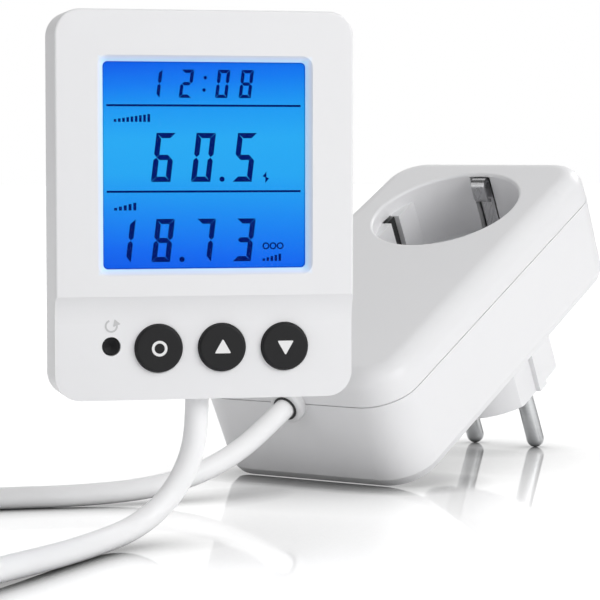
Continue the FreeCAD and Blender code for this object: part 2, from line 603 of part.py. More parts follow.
def plug_bottom_shell():
    """The lower half: bevelled foot, straight walls, the plug, screw towers and board posts."""
    above_foot = housing_outline(0, FOOT_BEVEL, WALL_DRAFT)
    foot = Part.makeLoft([housing_outline(FOOT_INSET, 0, WALL_DRAFT), above_foot], True, True)
    wall = Part.makeLoft([above_foot, housing_outline(0, SEAM_Z)], True, True)
    inner = slab(housing_outline(HOUSING_WALL, HOUSING_WALL, WALL_DRAFT), SEAM_Z)
    shell = foot.fuse([wall, plug_body()]).cut(inner)
    towers = [cylinder(TOWER_RADIUS, HOUSING_WALL / 2, TOWER_HEIGHT - SEAT_GAP, x, y)
              for x, y in HOUSING_SCREW_SPOTS]
    posts = [cylinder(METER_POST_RADIUS, HOUSING_WALL / 2, METER_BOARD_Z, x, y)
             for x, y in meter_post_spots()]
    saddle_top = CORD_AXIS_Z - CORD_RADIUS - CORD_SLACK
    saddle = box(CLAMP_X - CLAMP_LONG / 2, CLAMP_X + CLAMP_LONG / 2, -CLAMP_REACH - CLAMP_POST_RADIUS,
                 CLAMP_REACH + CLAMP_POST_RADIUS, HOUSING_WALL / 2, saddle_top)
    shell = shell.fuse(towers + posts + [saddle])
    groove = slab(housing_outline(-EPS, SEAM_Z - SEAM_GROOVE), SEAM_GROOVE)
    groove = groove.cut(slab(housing_outline(SEAM_GROOVE_DEPTH, SEAM_Z - SEAM_GROOVE), SEAM_GROOVE))
    cuts = [groove, cylinder(PLUG_CAVITY_RADIUS, CAVITY_FLOOR, HOUSING_WALL + EPS), gland_hole()]
    for y in pin_spots():
        cuts.append(cylinder(PIN_COLLAR + SCREW_SLACK, PLUG_FACE - EPS, CAVITY_FLOOR + EPS, 0, y))
    for x, y in HOUSING_SCREW_SPOTS:
        cuts.append(cylinder(HOUSING_SCREW_RADIUS + 3 * SCREW_SLACK, -EPS, TOWER_HEIGHT + EPS, x, y))
        cuts.append(cylinder(HOUSING_HEAD_RADIUS + 3 * SCREW_SLACK, -EPS, SCREW_HEAD_DEPTH, x, y))
    for y in (-CLAMP_REACH, CLAMP_REACH):
        cuts.append(cylinder(CASE_SCREW_RADIUS + SCREW_SLACK, saddle_top - CASE_SCREW_LENGTH, saddle_top + EPS,
                             CLAMP_X, y))
    return shell.cut(cuts).removeSplitter()


def housing_screws():
    """Four screws from below, through the towers into the top shell's posts."""
    screws = []
    for x, y in HOUSING_SCREW_SPOTS:
        seat = SCREW_HEAD_DEPTH
        head = cylinder(HOUSING_HEAD_RADIUS, seat - HOUSING_HEAD_THICK, seat, x, y)
        shank = cylinder(HOUSING_SCREW_RADIUS, seat, seat + HOUSING_SCREW_LENGTH, x, y)
        screws.append(head.fuse(shank).removeSplitter())
    return Part.makeCompound(screws)


def plug_pin(y):
    """A turned pin: round tip, plain shank, a root flush with the face, a tail and its collar."""
    tip = PLUG_FACE - PIN_LENGTH
    dome = Part.makeSphere(PIN_RADIUS, V(0, y, tip + PIN_RADIUS))
    shank = cylinder(PIN_RADIUS, tip + PIN_RADIUS, PLUG_FACE, 0, y)
    root = cylinder(PIN_COLLAR, PLUG_FACE, CAVITY_FLOOR, 0, y)
    tail = cylinder(PIN_TAIL_RADIUS, CAVITY_FLOOR, CAVITY_FLOOR + PIN_INSIDE, 0, y)
    middle = CAVITY_FLOOR + PIN_INSIDE / 2
    collar = cylinder(PIN_COLLAR, middle - PIN_COLLAR_THICK / 2, middle + PIN_COLLAR_THICK / 2, 0, y)
    return dome.fuse([shank, root, tail, collar]).removeSplitter()


def pin_carrier():
    """The moulded disc at the bottom of the plug that holds both pins by their collars."""
    top = CAVITY_FLOOR + PIN_INSIDE
    disc = cylinder(PLUG_CAVITY_RADIUS - CARRIER_SLACK, CAVITY_FLOOR, top)
    middle = CAVITY_FLOOR + PIN_INSIDE / 2
    cuts = []
    for y in pin_spots():
        cuts.append(cylinder(PIN_TAIL_RADIUS + SCREW_SLACK, CAVITY_FLOOR - EPS, top + EPS, 0, y))
        cuts.append(cylinder(PIN_COLLAR + SCREW_SLACK, middle - PIN_COLLAR_THICK / 2 - SCREW_SLACK,
                             middle + PIN_COLLAR_THICK / 2 + SCREW_SLACK, 0, y))
    return disc.cut(cuts)


def tulip_floor():
    return CARRIER_TOP - TULIP_LENGTH


def contact_carrier():
    """The insulating block between the pins and the recess, with a pocket for each contact."""
    low = CAVITY_FLOOR + PIN_INSIDE
    block = cylinder(PLUG_CAVITY_RADIUS - CARRIER_SLACK, low, CARRIER_TOP)
    pocket = PIN_RADIUS + SCREW_SLACK + TULIP_WALL + TULIP_SLACK
    spring_room = cylinder(SHUTTER_POST_RADIUS + SPRING_WIRE + 2 * SEAT_GAP, CARRIER_TOP - 2 * SPRING_WIRE,
                           CARRIER_TOP + EPS)
    pockets = [cylinder(pocket, tulip_floor(), CARRIER_TOP + EPS, 0, y) for y in pin_spots()]
    return block.cut(pockets + [spring_room])


def socket_contact(y):
    """A split sleeve that grips a pin, on a solid foot."""
    low, top = tulip_floor(), CARRIER_TOP - SEAT_GAP
    bore = PIN_RADIUS + SCREW_SLACK
    sleeve = cylinder(bore + TULIP_WALL, low, top, 0, y)
    hollow = cylinder(bore, low + 2 * TULIP_WALL, top + EPS, 0, y)
    reach = bore + TULIP_WALL + EPS
    slit = box(-TULIP_SLIT / 2, TULIP_SLIT / 2, y - reach, y + reach, low + TULIP_LENGTH / 3, top + EPS)
    return sleeve.cut([hollow, slit])


def shutter_levels():
    top = WELL_BOTTOM - SEAT_GAP
    return top - SHUTTER_THICK, top


def shutter_disc():
    """The child-safety disc under the recess floor, turned so that it covers both holes."""
    low, top = shutter_levels()
    disc = cylinder(SHUTTER_RADIUS, low, top)
    cuts = [cylinder(SHUTTER_POST_RADIUS + SHUTTER_POST_SLACK, low - EPS, top + EPS)]
    turn = math.radians(90 - SHUTTER_CLOSED_TURN)
    for r in pin_spots():
        x, y = r * math.cos(turn), r * math.sin(turn)
        cuts.append(cylinder(SHUTTER_HOLE_RADIUS, low - EPS, top + EPS, x, y))
    return disc.cut(cuts)


def shutter_spring():
    """The flat coil of wire round the pivot that turns the disc back."""
    r = SHUTTER_POST_RADIUS + SEAT_GAP
    low = CARRIER_TOP - 2 * SPRING_WIRE
    ring = cylinder(r + SPRING_WIRE, low, CARRIER_TOP)
    return ring.cut(cylinder(r, low, CARRIER_TOP))


def clip_bend(x, z):
    """A full ring of the strap, bent round an axis along y; the caller keeps a part of it."""
    base, along = V(x, -CLIP_WIDTH / 2, z), V(0, 1, 0)
    outer = Part.makeCylinder(CLIP_HEAD_RADIUS + CLIP_THICK, CLIP_WIDTH, base, along)
    return outer.cut(Part.makeCylinder(CLIP_HEAD_RADIUS, CLIP_WIDTH, base, along))


def earth_clip(side):
    """A bent strap: foot on the housing floor, leaf in its slot, head bent over, down and back."""
    t, r = CLIP_THICK, CLIP_HEAD_RADIUS
    x = RECESS_RADIUS + t
    top = HOUSING_HEIGHT - CLIP_SLOT_DROP - r - SEAT_GAP - t
    low = HOUSING_WALL
    leaf = box(x, x + t, -CLIP_WIDTH / 2, CLIP_WIDTH / 2, low, top)
    foot = box(x, x + CLIP_FOOT, -CLIP_WIDTH / 2, CLIP_WIDTH / 2, low, low + t)
    over = clip_bend(x - r, top).common(box(x - 2 * r - t, x + t, -CLIP_WIDTH, CLIP_WIDTH, top, top + r + t))
    nose_x = x - 2 * r - t
    nose_end = top - CLIP_NOSE
    nose = box(nose_x, nose_x + t, -CLIP_WIDTH / 2, CLIP_WIDTH / 2, nose_end, top)
    back = clip_bend(x - r, nose_end).common(box(nose_x, x - r, -CLIP_WIDTH, CLIP_WIDTH,
                                                 nose_end - r - t, nose_end))
    clip = leaf.fuse([foot, over, nose, back]).removeSplitter()
    if side < 0:
        clip = clip.mirror(V(0, 0, 0), V(1, 0, 0))
    return clip


def plug_earth_contacts():
    """Two flat strips in the plug's side grooves, a little proud of it."""
    strips = []
    for side in (-1, 1):
        seat = PLUG_RADIUS - EARTH_GROOVE_DEPTH
        x0, x1 = sorted([side * seat, side * (seat + EARTH_STRIP_THICK)])
        strip = box(x0, x1, -EARTH_STRIP_WIDTH / 2, EARTH_STRIP_WIDTH / 2, PLUG_FACE + EARTH_STRIP_THICK,
                    PLUG_FACE + EARTH_GROOVE_LENGTH)
        strips.append(strip)
    return Part.makeCompound(strips)


def meter_post_spots():
    x0, x1, width = METER_BOARD
    i = METER_POST_INSET
    return [(x, y) for x in (x0 + i, x1 - i) for y in (-width / 2 + i, width / 2 - i)]


def metering_board():
    x0, x1, width = METER_BOARD
    outline = rounded_rectangle(x0, x1, -width / 2, width / 2, BOARD_CORNER, METER_BOARD_Z)
    return slab(outline, BOARD_THICK)


def board_top():
    return METER_BOARD_Z + BOARD_THICK


def block_on_board(at, size):
    """A block of the given length, width and height, centred at its place on the metering board."""
    (x, y), (long, wide, high) = at, size
    low = board_top()
    return box(x - long / 2, x + long / 2, y - wide / 2, y + wide / 2, low, low + high)


def mains_capacitor():
    """The boxed film capacitor of the meter's dropper supply."""
    block = block_on_board(FILM_CAPACITOR_AT, FILM_CAPACITOR)
    top = block.BoundBox.ZMax
    return fillet(block, COMPONENT_EDGE, lambda e: lies_at(e, top))


def smoothing_capacitor():
    low = board_top()
    top = low + ROUND_CAPACITOR_HEIGHT
    can = cylinder(ROUND_CAPACITOR_RADIUS, low, top, *ROUND_CAPACITOR_AT)
    return fillet(can, COMPONENT_EDGE, lambda e: lies_at(e, top))


def surge_absorber():
    """The coated disc across the mains, standing on its edge."""
    x, y = SURGE_DISC_AT
    at = V(x, y - SURGE_DISC_THICK / 2, board_top() + SURGE_DISC_RADIUS)
    disc = Part.makeCylinder(SURGE_DISC_RADIUS, SURGE_DISC_THICK, at, V(0, 1, 0))
    return disc.makeFillet(COMPONENT_EDGE, [e for e in disc.Edges if e.BoundBox.YLength < 1e-4])


def shunt_resistor():
    """The bent metal strap whose small voltage drop measures the current."""
    long, wide, high = SHUNT
    inner = (long - 2 * SHUNT_GAUGE, wide + EPS, high - SHUNT_GAUGE)
    return block_on_board(SHUNT_AT, SHUNT).cut(block_on_board(SHUNT_AT, inner))


def metering_chip():
    return block_on_board(METER_CHIP_AT, METER_CHIP)


def cord_gland():
    """The moulded ring in the end wall: rounded outer collar, neck and inner flange."""
    front = -CABLE_END - GLAND_PROUD
    inside = -CABLE_END + HOUSING_WALL
    along = V(1, 0, 0)
    collar = Part.makeCylinder(GLAND_RADIUS, GLAND_PROUD, V(front, 0, CORD_AXIS_Z), along)
    collar = fillet(collar, GLAND_ROUND, lambda e: e.BoundBox.XMax < front + 1e-4)
    neck = Part.makeCylinder(GLAND_NECK_RADIUS, HOUSING_WALL, V(-CABLE_END, 0, CORD_AXIS_Z), along)
    flange = Part.makeCylinder(GLAND_RADIUS, GLAND_INNER_THICK, V(inside, 0, CORD_AXIS_Z), along)
    bore = Part.makeCylinder(CORD_RADIUS + CORD_SLACK, inside + GLAND_INNER_THICK - front + 2 * EPS,
                             V(front - EPS, 0, CORD_AXIS_Z), along)
    return collar.fuse([neck, flange]).cut(bore).removeSplitter()


def cord_clamp():
    """The bar that presses the cord into its saddle."""
    low = CORD_AXIS_Z - CORD_RADIUS - CORD_SLACK
    high = CORD_AXIS_Z + CORD_RADIUS + CLAMP_THICK / 2
    reach = CLAMP_REACH + CLAMP_POST_RADIUS
    bar = box(CLAMP_X - CLAMP_LONG / 2, CLAMP_X + CLAMP_LONG / 2, -reach, reach, low, high)
    channel = Part.makeCylinder(CORD_RADIUS + CORD_SLACK, CLAMP_LONG + 2 * EPS,
                                V(CLAMP_X - CLAMP_LONG / 2 - EPS, 0, CORD_AXIS_Z), V(1, 0, 0))
    half = CORD_RADIUS + CORD_SLACK
    below = box(CLAMP_X - CLAMP_LONG, CLAMP_X + CLAMP_LONG, -half, half, low - EPS, CORD_AXIS_Z)
    holes = [cylinder(CASE_SCREW_RADIUS + 2 * SCREW_SLACK, low - EPS, high + EPS, CLAMP_X, y)
             for y in (-CLAMP_REACH, CLAMP_REACH)]
    return bar.cut([channel, below] + holes)


def cord_clamp_screws():
    high = CORD_AXIS_Z + CORD_RADIUS + CLAMP_THICK / 2
    screws = []
    for y in (-CLAMP_REACH, CLAMP_REACH):
        head = cylinder(CASE_HEAD_RADIUS, high, high + CASE_HEAD_THICK, CLAMP_X, y)
        shank = cylinder(CASE_SCREW_RADIUS, high - CASE_SCREW_LENGTH, high, CLAMP_X, y)
        screws.append(head.fuse(shank).removeSplitter())
    return Part.makeCompound(screws)


def tube(path, start, direction):
    """A round cord of CORD_RADIUS along the path."""
    profile = Part.Wire(Part.makeCircle(CORD_RADIUS, start, direction))
    sweep = Part.BRepOffsetAPI.MakePipeShell(path)
    sweep.add(profile)
    sweep.build()
    sweep.makeSolid()
    return sweep.shape()


def routed_path(points, name):
    """Straight runs joined by tangent arcs, each arc as large as its two runs allow."""
    edges, radii = [], []
    here = points[0]
    for a, b, c in zip(points, points[1:], points[2:]):
        into, out = (b - a), (c - b)
        run = min(into.Length, out.Length)
        into.normalize()
        out.normalize()
        half_turn = into.getAngle(out) / 2
        cut = ARC_SHARE * run
        radius = cut / math.tan(half_turn)
        radii.append(radius)
        start, end = b - into * cut, b + out * cut
        middle = b + (out - into).normalize() * radius * (1 / math.cos(half_turn) - 1)
        edges.append(Part.LineSegment(here, start).toShape())
        edges.append(Part.Arc(start, middle, end).toShape())
        here = end
    edges.append(Part.LineSegment(here, points[-1]).toShape())
    path = Part.Wire(edges)
    print(name, "radii", [round(r, 1) for r in radii], "length", round(path.Length, 1))
    return path


def compare_volume(solid, path, name):
    print(name, "volume over section times length",
          round(solid.Volume / (math.pi * CORD_RADIUS ** 2 * path.Length), 4))


def free_stretch(points, name):
    path = routed_path(points, name)
    solid = tube(path, points[0], points[1] - points[0])
    compare_volume(solid, path, name)
    return solid


def cord_to_display():
    """From its end inside the display, out through the bottom and along the floor into the coil."""
    x, y = DISPLAY_X + CORD_X, DISPLAY_Y + CORD_DEPTH
    top = V(x, y, DISPLAY_Z + CASE_WALL + GROMMET_LENGTH)
    exit_ = V(x, y, DISPLAY_Z - DISPLAY_EXIT)
    end, along = coil_point(0) - coil_tangent(0) * 2 * CORD_RADIUS, coil_tangent(0)
    chosen = [V(*p) for p in ROUTE_TO_DISPLAY]
    return free_stretch([top, exit_] + chosen + [end - along * COIL_ENTRY, end], "cord_to_display")


def cord_to_socket():
    """From the clamp inside the housing, out through the gland and round into the coil's top layer."""
    place = housing_placement()
    inner = place.multVec(V(CLAMP_X + CLAMP_LONG / 2, 0, CORD_AXIS_Z))
    outer = place.multVec(V(-CABLE_END - GLAND_EXIT, 0, CORD_AXIS_Z))
    along = coil_tangent(COIL_TURNS)
    end = coil_point(COIL_TURNS) + along * 2 * CORD_RADIUS
    chosen = [V(*p) for p in ROUTE_TO_SOCKET]
    return free_stretch([inner, outer] + chosen + [end + along * COIL_LEAVE, end], "cord_to_socket")


def coil_point(turn):
    """The coil's line, clockwise: in on the lower layer, a climb where it reverses, out on the upper."""
    middle = COIL_TURNS / 2
    innermost = COIL_RADIUS - TURN_PITCH * middle / 2
    radius = innermost + TURN_PITCH * abs(turn - middle)
    share = min(max((turn - middle) / CLIMB_TURNS + 0.5, 0.0), 1.0)
    rise = LAYER_PITCH * (share - math.sin(2 * math.pi * share) / (2 * math.pi))
    angle = math.radians(COIL_START_ANGLE) - 2 * math.pi * turn
    return V(COIL_X + radius * math.cos(angle), COIL_Y + radius * math.sin(angle),
             TIE_THICK + CORD_RADIUS + rise)


def coil_tangent(turn):
    """The level direction of travel at a count of turns, or the climbing one inside the climb."""
    step = 1e-4
    return (coil_point(turn + step) - coil_point(turn - step)).normalize()


def biarc(p0, t0, p1, t1):
    """Two arcs that leave p0 along t0 and reach p1 along t1."""
    chord = p1 - p0
    both = t0 + t1
    a = 2 * (1 - t0.dot(t1))
    b = 2 * chord.dot(both)
    c = -chord.dot(chord)
    d = -c / b if abs(a) < 1e-9 else (-b + math.sqrt(b * b - 4 * a * c)) / (2 * a)
    q0, q1 = p0 + t0 * d, p1 - t1 * d
    joint = (q0 + q1) * 0.5
    return [arc_from(p0, q0, joint), arc_from(joint, q1, p1)]


def arc_from(start, corner, end):
    """The arc tangent to both legs of an even corner."""
    middle = (start + end) * 0.5
    rise = corner - middle
    half_chord = (end - start).Length / 2
    leg = (corner - start).Length
    sagitta = half_chord * half_chord / (leg + rise.Length) if rise.Length > 1e-9 else 0
    if sagitta < 1e-6:
        return Part.LineSegment(start, end).toShape()
    height = sagitta * rise_ratio(half_chord, leg)
    return Part.Arc(start, middle + rise.normalize() * height, end).toShape()


def rise_ratio(half_chord, leg):
    """Corrects the mid height of an arc whose legs meet at an angle."""
    cosine = half_chord / leg
    sine = math.sqrt(max(0.0, 1 - cosine * cosine))
    true = half_chord * (1 - cosine) / sine
    rough = half_chord * half_chord / (leg + leg * sine)
    return true / rough


def least_gap():
    """The coil's least gap to itself, measured on points."""
    samples = int(COIL_TURNS * POINTS_PER_TURN)
    points = [tuple(coil_point(COIL_TURNS * i / samples)) for i in range(samples + 1)]
    apart = POINTS_PER_TURN // 2
    least = min(math.dist(points[i], points[j])
                for i in range(samples) for j in range(i + apart, samples + 1))
    return least - 2 * CORD_RADIUS


def cord_coil():
    """The put-away turns as one unbroken tube, straight for one diameter at each end."""
    steps = round(COIL_TURNS * 4)
    marks = [COIL_TURNS * i / steps for i in range(steps + 1)]
    first, last = coil_point(0), coil_point(COIL_TURNS)
    start = first - coil_tangent(0) * 2 * CORD_RADIUS
    edges = [Part.LineSegment(start, first).toShape()]
    for a, b in zip(marks, marks[1:]):
        edges += biarc(coil_point(a), coil_tangent(a), coil_point(b), coil_tangent(b))
    edges.append(Part.LineSegment(last, last + coil_tangent(COIL_TURNS) * 2 * CORD_RADIUS).toShape())
    path = Part.Wire(edges)
    solid = tube(path, start, coil_tangent(0))
    print("cord_coil length", round(path.Length, 1), "least gap to itself", round(least_gap(), 2))
    compare_volume(solid, path, "cord_coil")
    return solid


def coil_tie():
    """A flat strap closed round all the turns at one place."""
    reach = TURN_PITCH * COIL_TURNS / 4 + CORD_RADIUS + TIE_SLACK
    low, high = TIE_THICK, TIE_THICK + 2 * CORD_RADIUS + LAYER_PITCH + TIE_SLACK
    outer = rounded_rectangle(-reach - TIE_THICK, reach + TIE_THICK, low - TIE_THICK, high + TIE_THICK,
                              TIE_CORNER, 0)
    inner = rounded_rectangle(-reach, reach, low, high, TIE_CORNER - TIE_THICK, 0)
    band = slab(outer, TIE_WIDTH).cut(slab(inner, TIE_WIDTH))
    band.translate(V(0, 0, -TIE_WIDTH / 2))
    band.rotate(V(0, 0, 0), V(1, 0, 0), 90)
    band.translate(V(COIL_RADIUS, 0, 0))
    band.rotate(V(0, 0, 0), V(0, 0, 1), TIE_ANGLE)
    band.translate(V(COIL_X, COIL_Y, 0))
    return band


def all_parts():
    pieces = {
        "display_front_cover": on_display(display_front_cover()),
        "display_back_cover": on_display(display_back_cover()),
        "display_screws": on_display(display_screws()),
        "window_lens": on_display(window_lens()),
        "lcd_glass": on_display(lcd_glass()),
        "light_guide": on_display(light_guide()),
        "backlight_leds": on_display(backlight_leds()),
        "contact_strip": on_display(contact_strip()),
        "lcd_frame": on_display(lcd_frame()),
        "display_board": on_display(display_board()),
        "key_switches": on_display(key_switches()),
        "controller_chip": on_display(controller_chip()),
        "backup_cell": on_display(backup_cell()),
        "reset_button": on_display(reset_button()),
        "display_cord_grommet": on_display(display_cord_grommet()),
        "socket_top_shell": in_housing(socket_top_shell()),
        "plug_bottom_shell": in_housing(plug_bottom_shell()),
        "housing_screws": in_housing(housing_screws()),
        "live_pin": in_housing(plug_pin(-PIN_SPACING / 2)),
        "neutral_pin": in_housing(plug_pin(PIN_SPACING / 2)),
        "pin_carrier": in_housing(pin_carrier()),
        "contact_carrier": in_housing(contact_carrier()),
        "live_contact": in_housing(socket_contact(-PIN_SPACING / 2)),
        "neutral_contact": in_housing(socket_contact(PIN_SPACING / 2)),
        "shutter_disc": in_housing(shutter_disc()),
        "shutter_spring": in_housing(shutter_spring()),
        "earth_clips": in_housing(Part.makeCompound([earth_clip(-1), earth_clip(1)])),
        "plug_earth_contacts": in_housing(plug_earth_contacts()),
        "metering_board": in_housing(metering_board()),
        "mains_capacitor": in_housing(mains_capacitor()),
        "smoothing_capacitor": in_housing(smoothing_capacitor()),
        "surge_absorber": in_housing(surge_absorber()),
        "shunt_resistor": in_housing(shunt_resistor()),
        "metering_chip": in_housing(metering_chip()),
        "cord_gland": in_housing(cord_gland()),
        "cord_clamp": in_housing(cord_clamp()),
        "cord_clamp_screws": in_housing(cord_clamp_screws()),
        "cord_to_display": cord_to_display(),
        "cord_to_socket": cord_to_socket(),
        "cord_coil": cord_coil(),
        "coil_tie": coil_tie(),
    }
    for name, x in key_spots().items():
        pieces[name] = on_display(key(x))
    return pieces


if __name__ == "__main__":
    os.makedirs(PARTS, exist_ok=True)
    for name, shape in all_parts().items():
        shape.exportStep(os.path.join(PARTS, name + ".step"))
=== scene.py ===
# %% [markdown]
# # A plug-in energy meter
# The object is a socket housing that plugs into a wall socket, and a wired display with a blue
# screen and three round keys. The solid parts come from CAD and stay as they are. This lesson
# dresses them: it sets the camera, lays the lead, draws the screen, adds small fittings, and
# gives every part a finish worked out by nodes.

# %% Load the parts
import math

import bpy
from mathutils import Matrix, Vector


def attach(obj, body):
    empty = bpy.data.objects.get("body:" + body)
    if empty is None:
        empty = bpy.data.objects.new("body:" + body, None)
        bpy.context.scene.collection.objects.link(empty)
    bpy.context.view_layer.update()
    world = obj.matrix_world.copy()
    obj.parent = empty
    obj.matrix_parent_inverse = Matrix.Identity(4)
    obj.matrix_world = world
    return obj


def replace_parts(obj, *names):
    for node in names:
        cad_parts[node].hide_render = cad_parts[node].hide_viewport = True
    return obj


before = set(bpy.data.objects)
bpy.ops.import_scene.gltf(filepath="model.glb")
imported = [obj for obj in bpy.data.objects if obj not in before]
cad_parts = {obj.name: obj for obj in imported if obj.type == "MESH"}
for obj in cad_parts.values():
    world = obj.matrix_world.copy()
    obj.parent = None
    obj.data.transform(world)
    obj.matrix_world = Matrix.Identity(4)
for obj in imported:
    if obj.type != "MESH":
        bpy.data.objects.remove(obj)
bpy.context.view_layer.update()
scene = bpy.context.scene
scene.view_settings.view_transform = "Standard"

# %% [markdown]
# ## Camera
# A product picture of this kind is taken with a long lens from a little above the table, so that
# upright edges stay upright. The field is narrow, 13.7 degrees, the camera looks down by 3.4
# degrees and is turned to the right, so that the display shows its front and a little of its side.

# %% Camera
CAMERA_SPOT = (-0.14930, -0.58852, 0.08021)
VIEW_TURN, VIEW_DOWN = math.radians(-13.168), math.radians(3.36)
VIEW_FIELD = math.radians(13.668)
NEAREST_SEEN = 0.02
bpy.ops.object.camera_add(location=CAMERA_SPOT, rotation=(math.pi / 2 - VIEW_DOWN, 0, VIEW_TURN))
camera = bpy.context.object
camera.name = "product_camera"
camera.data.angle = VIEW_FIELD
camera.data.clip_start = NEAREST_SEEN
scene.camera = camera
print("lens", round(camera.data.lens, 1), "mm")

# %% [markdown]
# ## The lead
# One lead of about 1.5 m joins the two units. It drops out of the display's bottom edge, runs
# along the table, goes round in a tied coil beyond the left edge of the picture and comes back to
# the gland of the housing. A bevelled curve is the natural tool: a smooth line that the route's
# points guide, with a round section. Each point lies a step further along the lead. The turns of
# the coil are worked out, because they follow a rule: in on the lower layer, out on the upper one.

# %% Where the housing lies
MM = 0.001


def millimetres(*values):
    """A vector given in millimetres, in metres."""
    return Vector(values) * MM


HEADING, TILT = math.radians(42.16), math.radians(26.8905)
ALONG = Vector((math.cos(TILT) * math.cos(HEADING), math.cos(TILT) * math.sin(HEADING), math.sin(TILT)))
ACROSS = Vector((-math.sin(HEADING), math.cos(HEADING), 0))
OUTWARD = ALONG.cross(ACROSS)
PLUG_FOOT = millimetres(48.88, 55.13, 37.5398)
GLAND_FOOT, GLAND_MOUTH, LEAD_HEIGHT = -84.15, -86.7, 23.05


def on_housing(x, y, z):
    """A point of the housing: x along it, y from pin to pin, z up from its underside, in mm."""
    return PLUG_FOOT + (ALONG * x + ACROSS * y + OUTWARD * z) * MM


print("gland", [round(c, 4) for c in on_housing(GLAND_FOOT, 0, LEAD_HEIGHT)])

# %% The turns of the coil
LEAD_RADIUS = 2.5
COIL_CENTRE, COIL_RADIUS, COIL_TURNS = (-145.0, -122.4), 30.0, 6.43
COIL_START, COIL_PITCH, POINTS_PER_TURN = math.radians(-39), 5.55, 24
COIL_LIFT, LAYER_CHANGE = 0.6, 0.5


def coil_point(turn, stretch=1.0):
    """The lead's line after some turns. Stretch makes up for a curve running inside its points."""
    middle = COIL_TURNS / 2
    radius = COIL_RADIUS - COIL_PITCH * middle / 2 + COIL_PITCH * abs(turn - middle)
    share = min(max((turn - middle) / LAYER_CHANGE + 0.5, 0), 1)
    rise = COIL_PITCH * (share - math.sin(2 * math.pi * share) / (2 * math.pi))
    angle = COIL_START - 2 * math.pi * turn
    return millimetres(COIL_CENTRE[0] + radius * stretch * math.cos(angle),
                       COIL_CENTRE[1] + radius * stretch * math.sin(angle),
                       COIL_LIFT + LEAD_RADIUS + rise)


def coil_direction(turn, step=1e-3):
    """The way the lead runs after some turns."""
    return (coil_point(turn + step) - coil_point(turn - step)).normalized()


# %% The route
TO_DISPLAY = [(-53.5, -81.5, 18.2), (-56.6, -81.8, 11.6), (-61.4, -83.5, 6.6), (-67.3, -87.3, 3.6),
              (-73.9, -93.9, 2.5), (-84.8, -109.5, 2.5)]
TO_SOCKET = [(-32.1, -17.2, 9.3), (-42.1, -22.2, 5.5), (-54.1, -25.5, 3.3), (-70.1, -27.1, 2.5),
             (-87.6, -26.9, 2.5), (-108.1, -29.2, 2.5), (-129.1, -37.0, 2.5), (-148.1, -49.5, 2.5),
             (-163.1, -65.0, 2.7), (-172.6, -80.5, 5.2)]
IN_DISPLAY = [(-52.5, -81.5, 35.5), (-52.5, -81.5, 26.0)]
AT_GLAND, IN_HOUSING = -96.15, -71
BESIDE_COIL, BEFORE_COIL, AFTER_COIL = 0.005, 0.020, 0.012

into, out = coil_direction(0), coil_direction(COIL_TURNS)
start, end = coil_point(0) - into * BESIDE_COIL, coil_point(COIL_TURNS) + out * BESIDE_COIL
steps = round(COIL_TURNS * POINTS_PER_TURN)
stretch = 1 / math.cos(math.pi / POINTS_PER_TURN)
route = [millimetres(*spot) for spot in IN_DISPLAY + TO_DISPLAY] + [start - into * BEFORE_COIL, start]
route += [coil_point(COIL_TURNS * i / steps, stretch) for i in range(steps + 1)]
route += [end, end + out * AFTER_COIL] + [millimetres(*spot) for spot in reversed(TO_SOCKET)]
route += [on_housing(x, 0, LEAD_HEIGHT) for x in (AT_GLAND, IN_HOUSING)]

# %% The curve
lead_line = bpy.data.curves.new("lead", "CURVE")
lead_line.dimensions = "3D"
spline = lead_line.splines.new("NURBS")
spline.points.add(len(route) - 1)
for point, spot in zip(spline.points, route):
    point.co = (*spot, 1)
    point.radius = LEAD_RADIUS * MM
spline.order_u = 3
spline.use_endpoint_u = True
spline.resolution_u = 6
# The points carry the thickness, so the bevel's own depth is one.
lead_line.bevel_depth = 1.0
lead_line.bevel_resolution = 6
lead_line.use_fill_caps = True
lead = bpy.data.objects.new("lead", lead_line)
scene.collection.objects.link(lead)
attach(lead, "meter")
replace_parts(lead, "cord_to_display", "cord_coil", "cord_to_socket")
print("lead points", len(route))

# %% [markdown]
# ## Light and table
# The picture has plain soft studio light: bright from the front and the right, a little less from
# above, so the housing's top face is greyer than its long side. A world of weak even light comes
# first. The front lamp stands to the right of the camera and does most of the work. The fill lamp
# sits over the camera, the rear lamp lights the housing's top and crest from behind, and the left
# lamp lifts the end that faces left. Dark flags to the left and right show in reflections only,
# as on a real set, and give the plated pins their dark edges.
#
# The table is white and slightly glossy, and its white comes from its own material, never from
# more light on the object. It darkens where the object stands close to it, which gives the thin
# contact shadows. A faint mirror over it, stronger at a flat angle, shows the pins and the housing
# and fades away from the object, so that the table stays plain and white from every side.

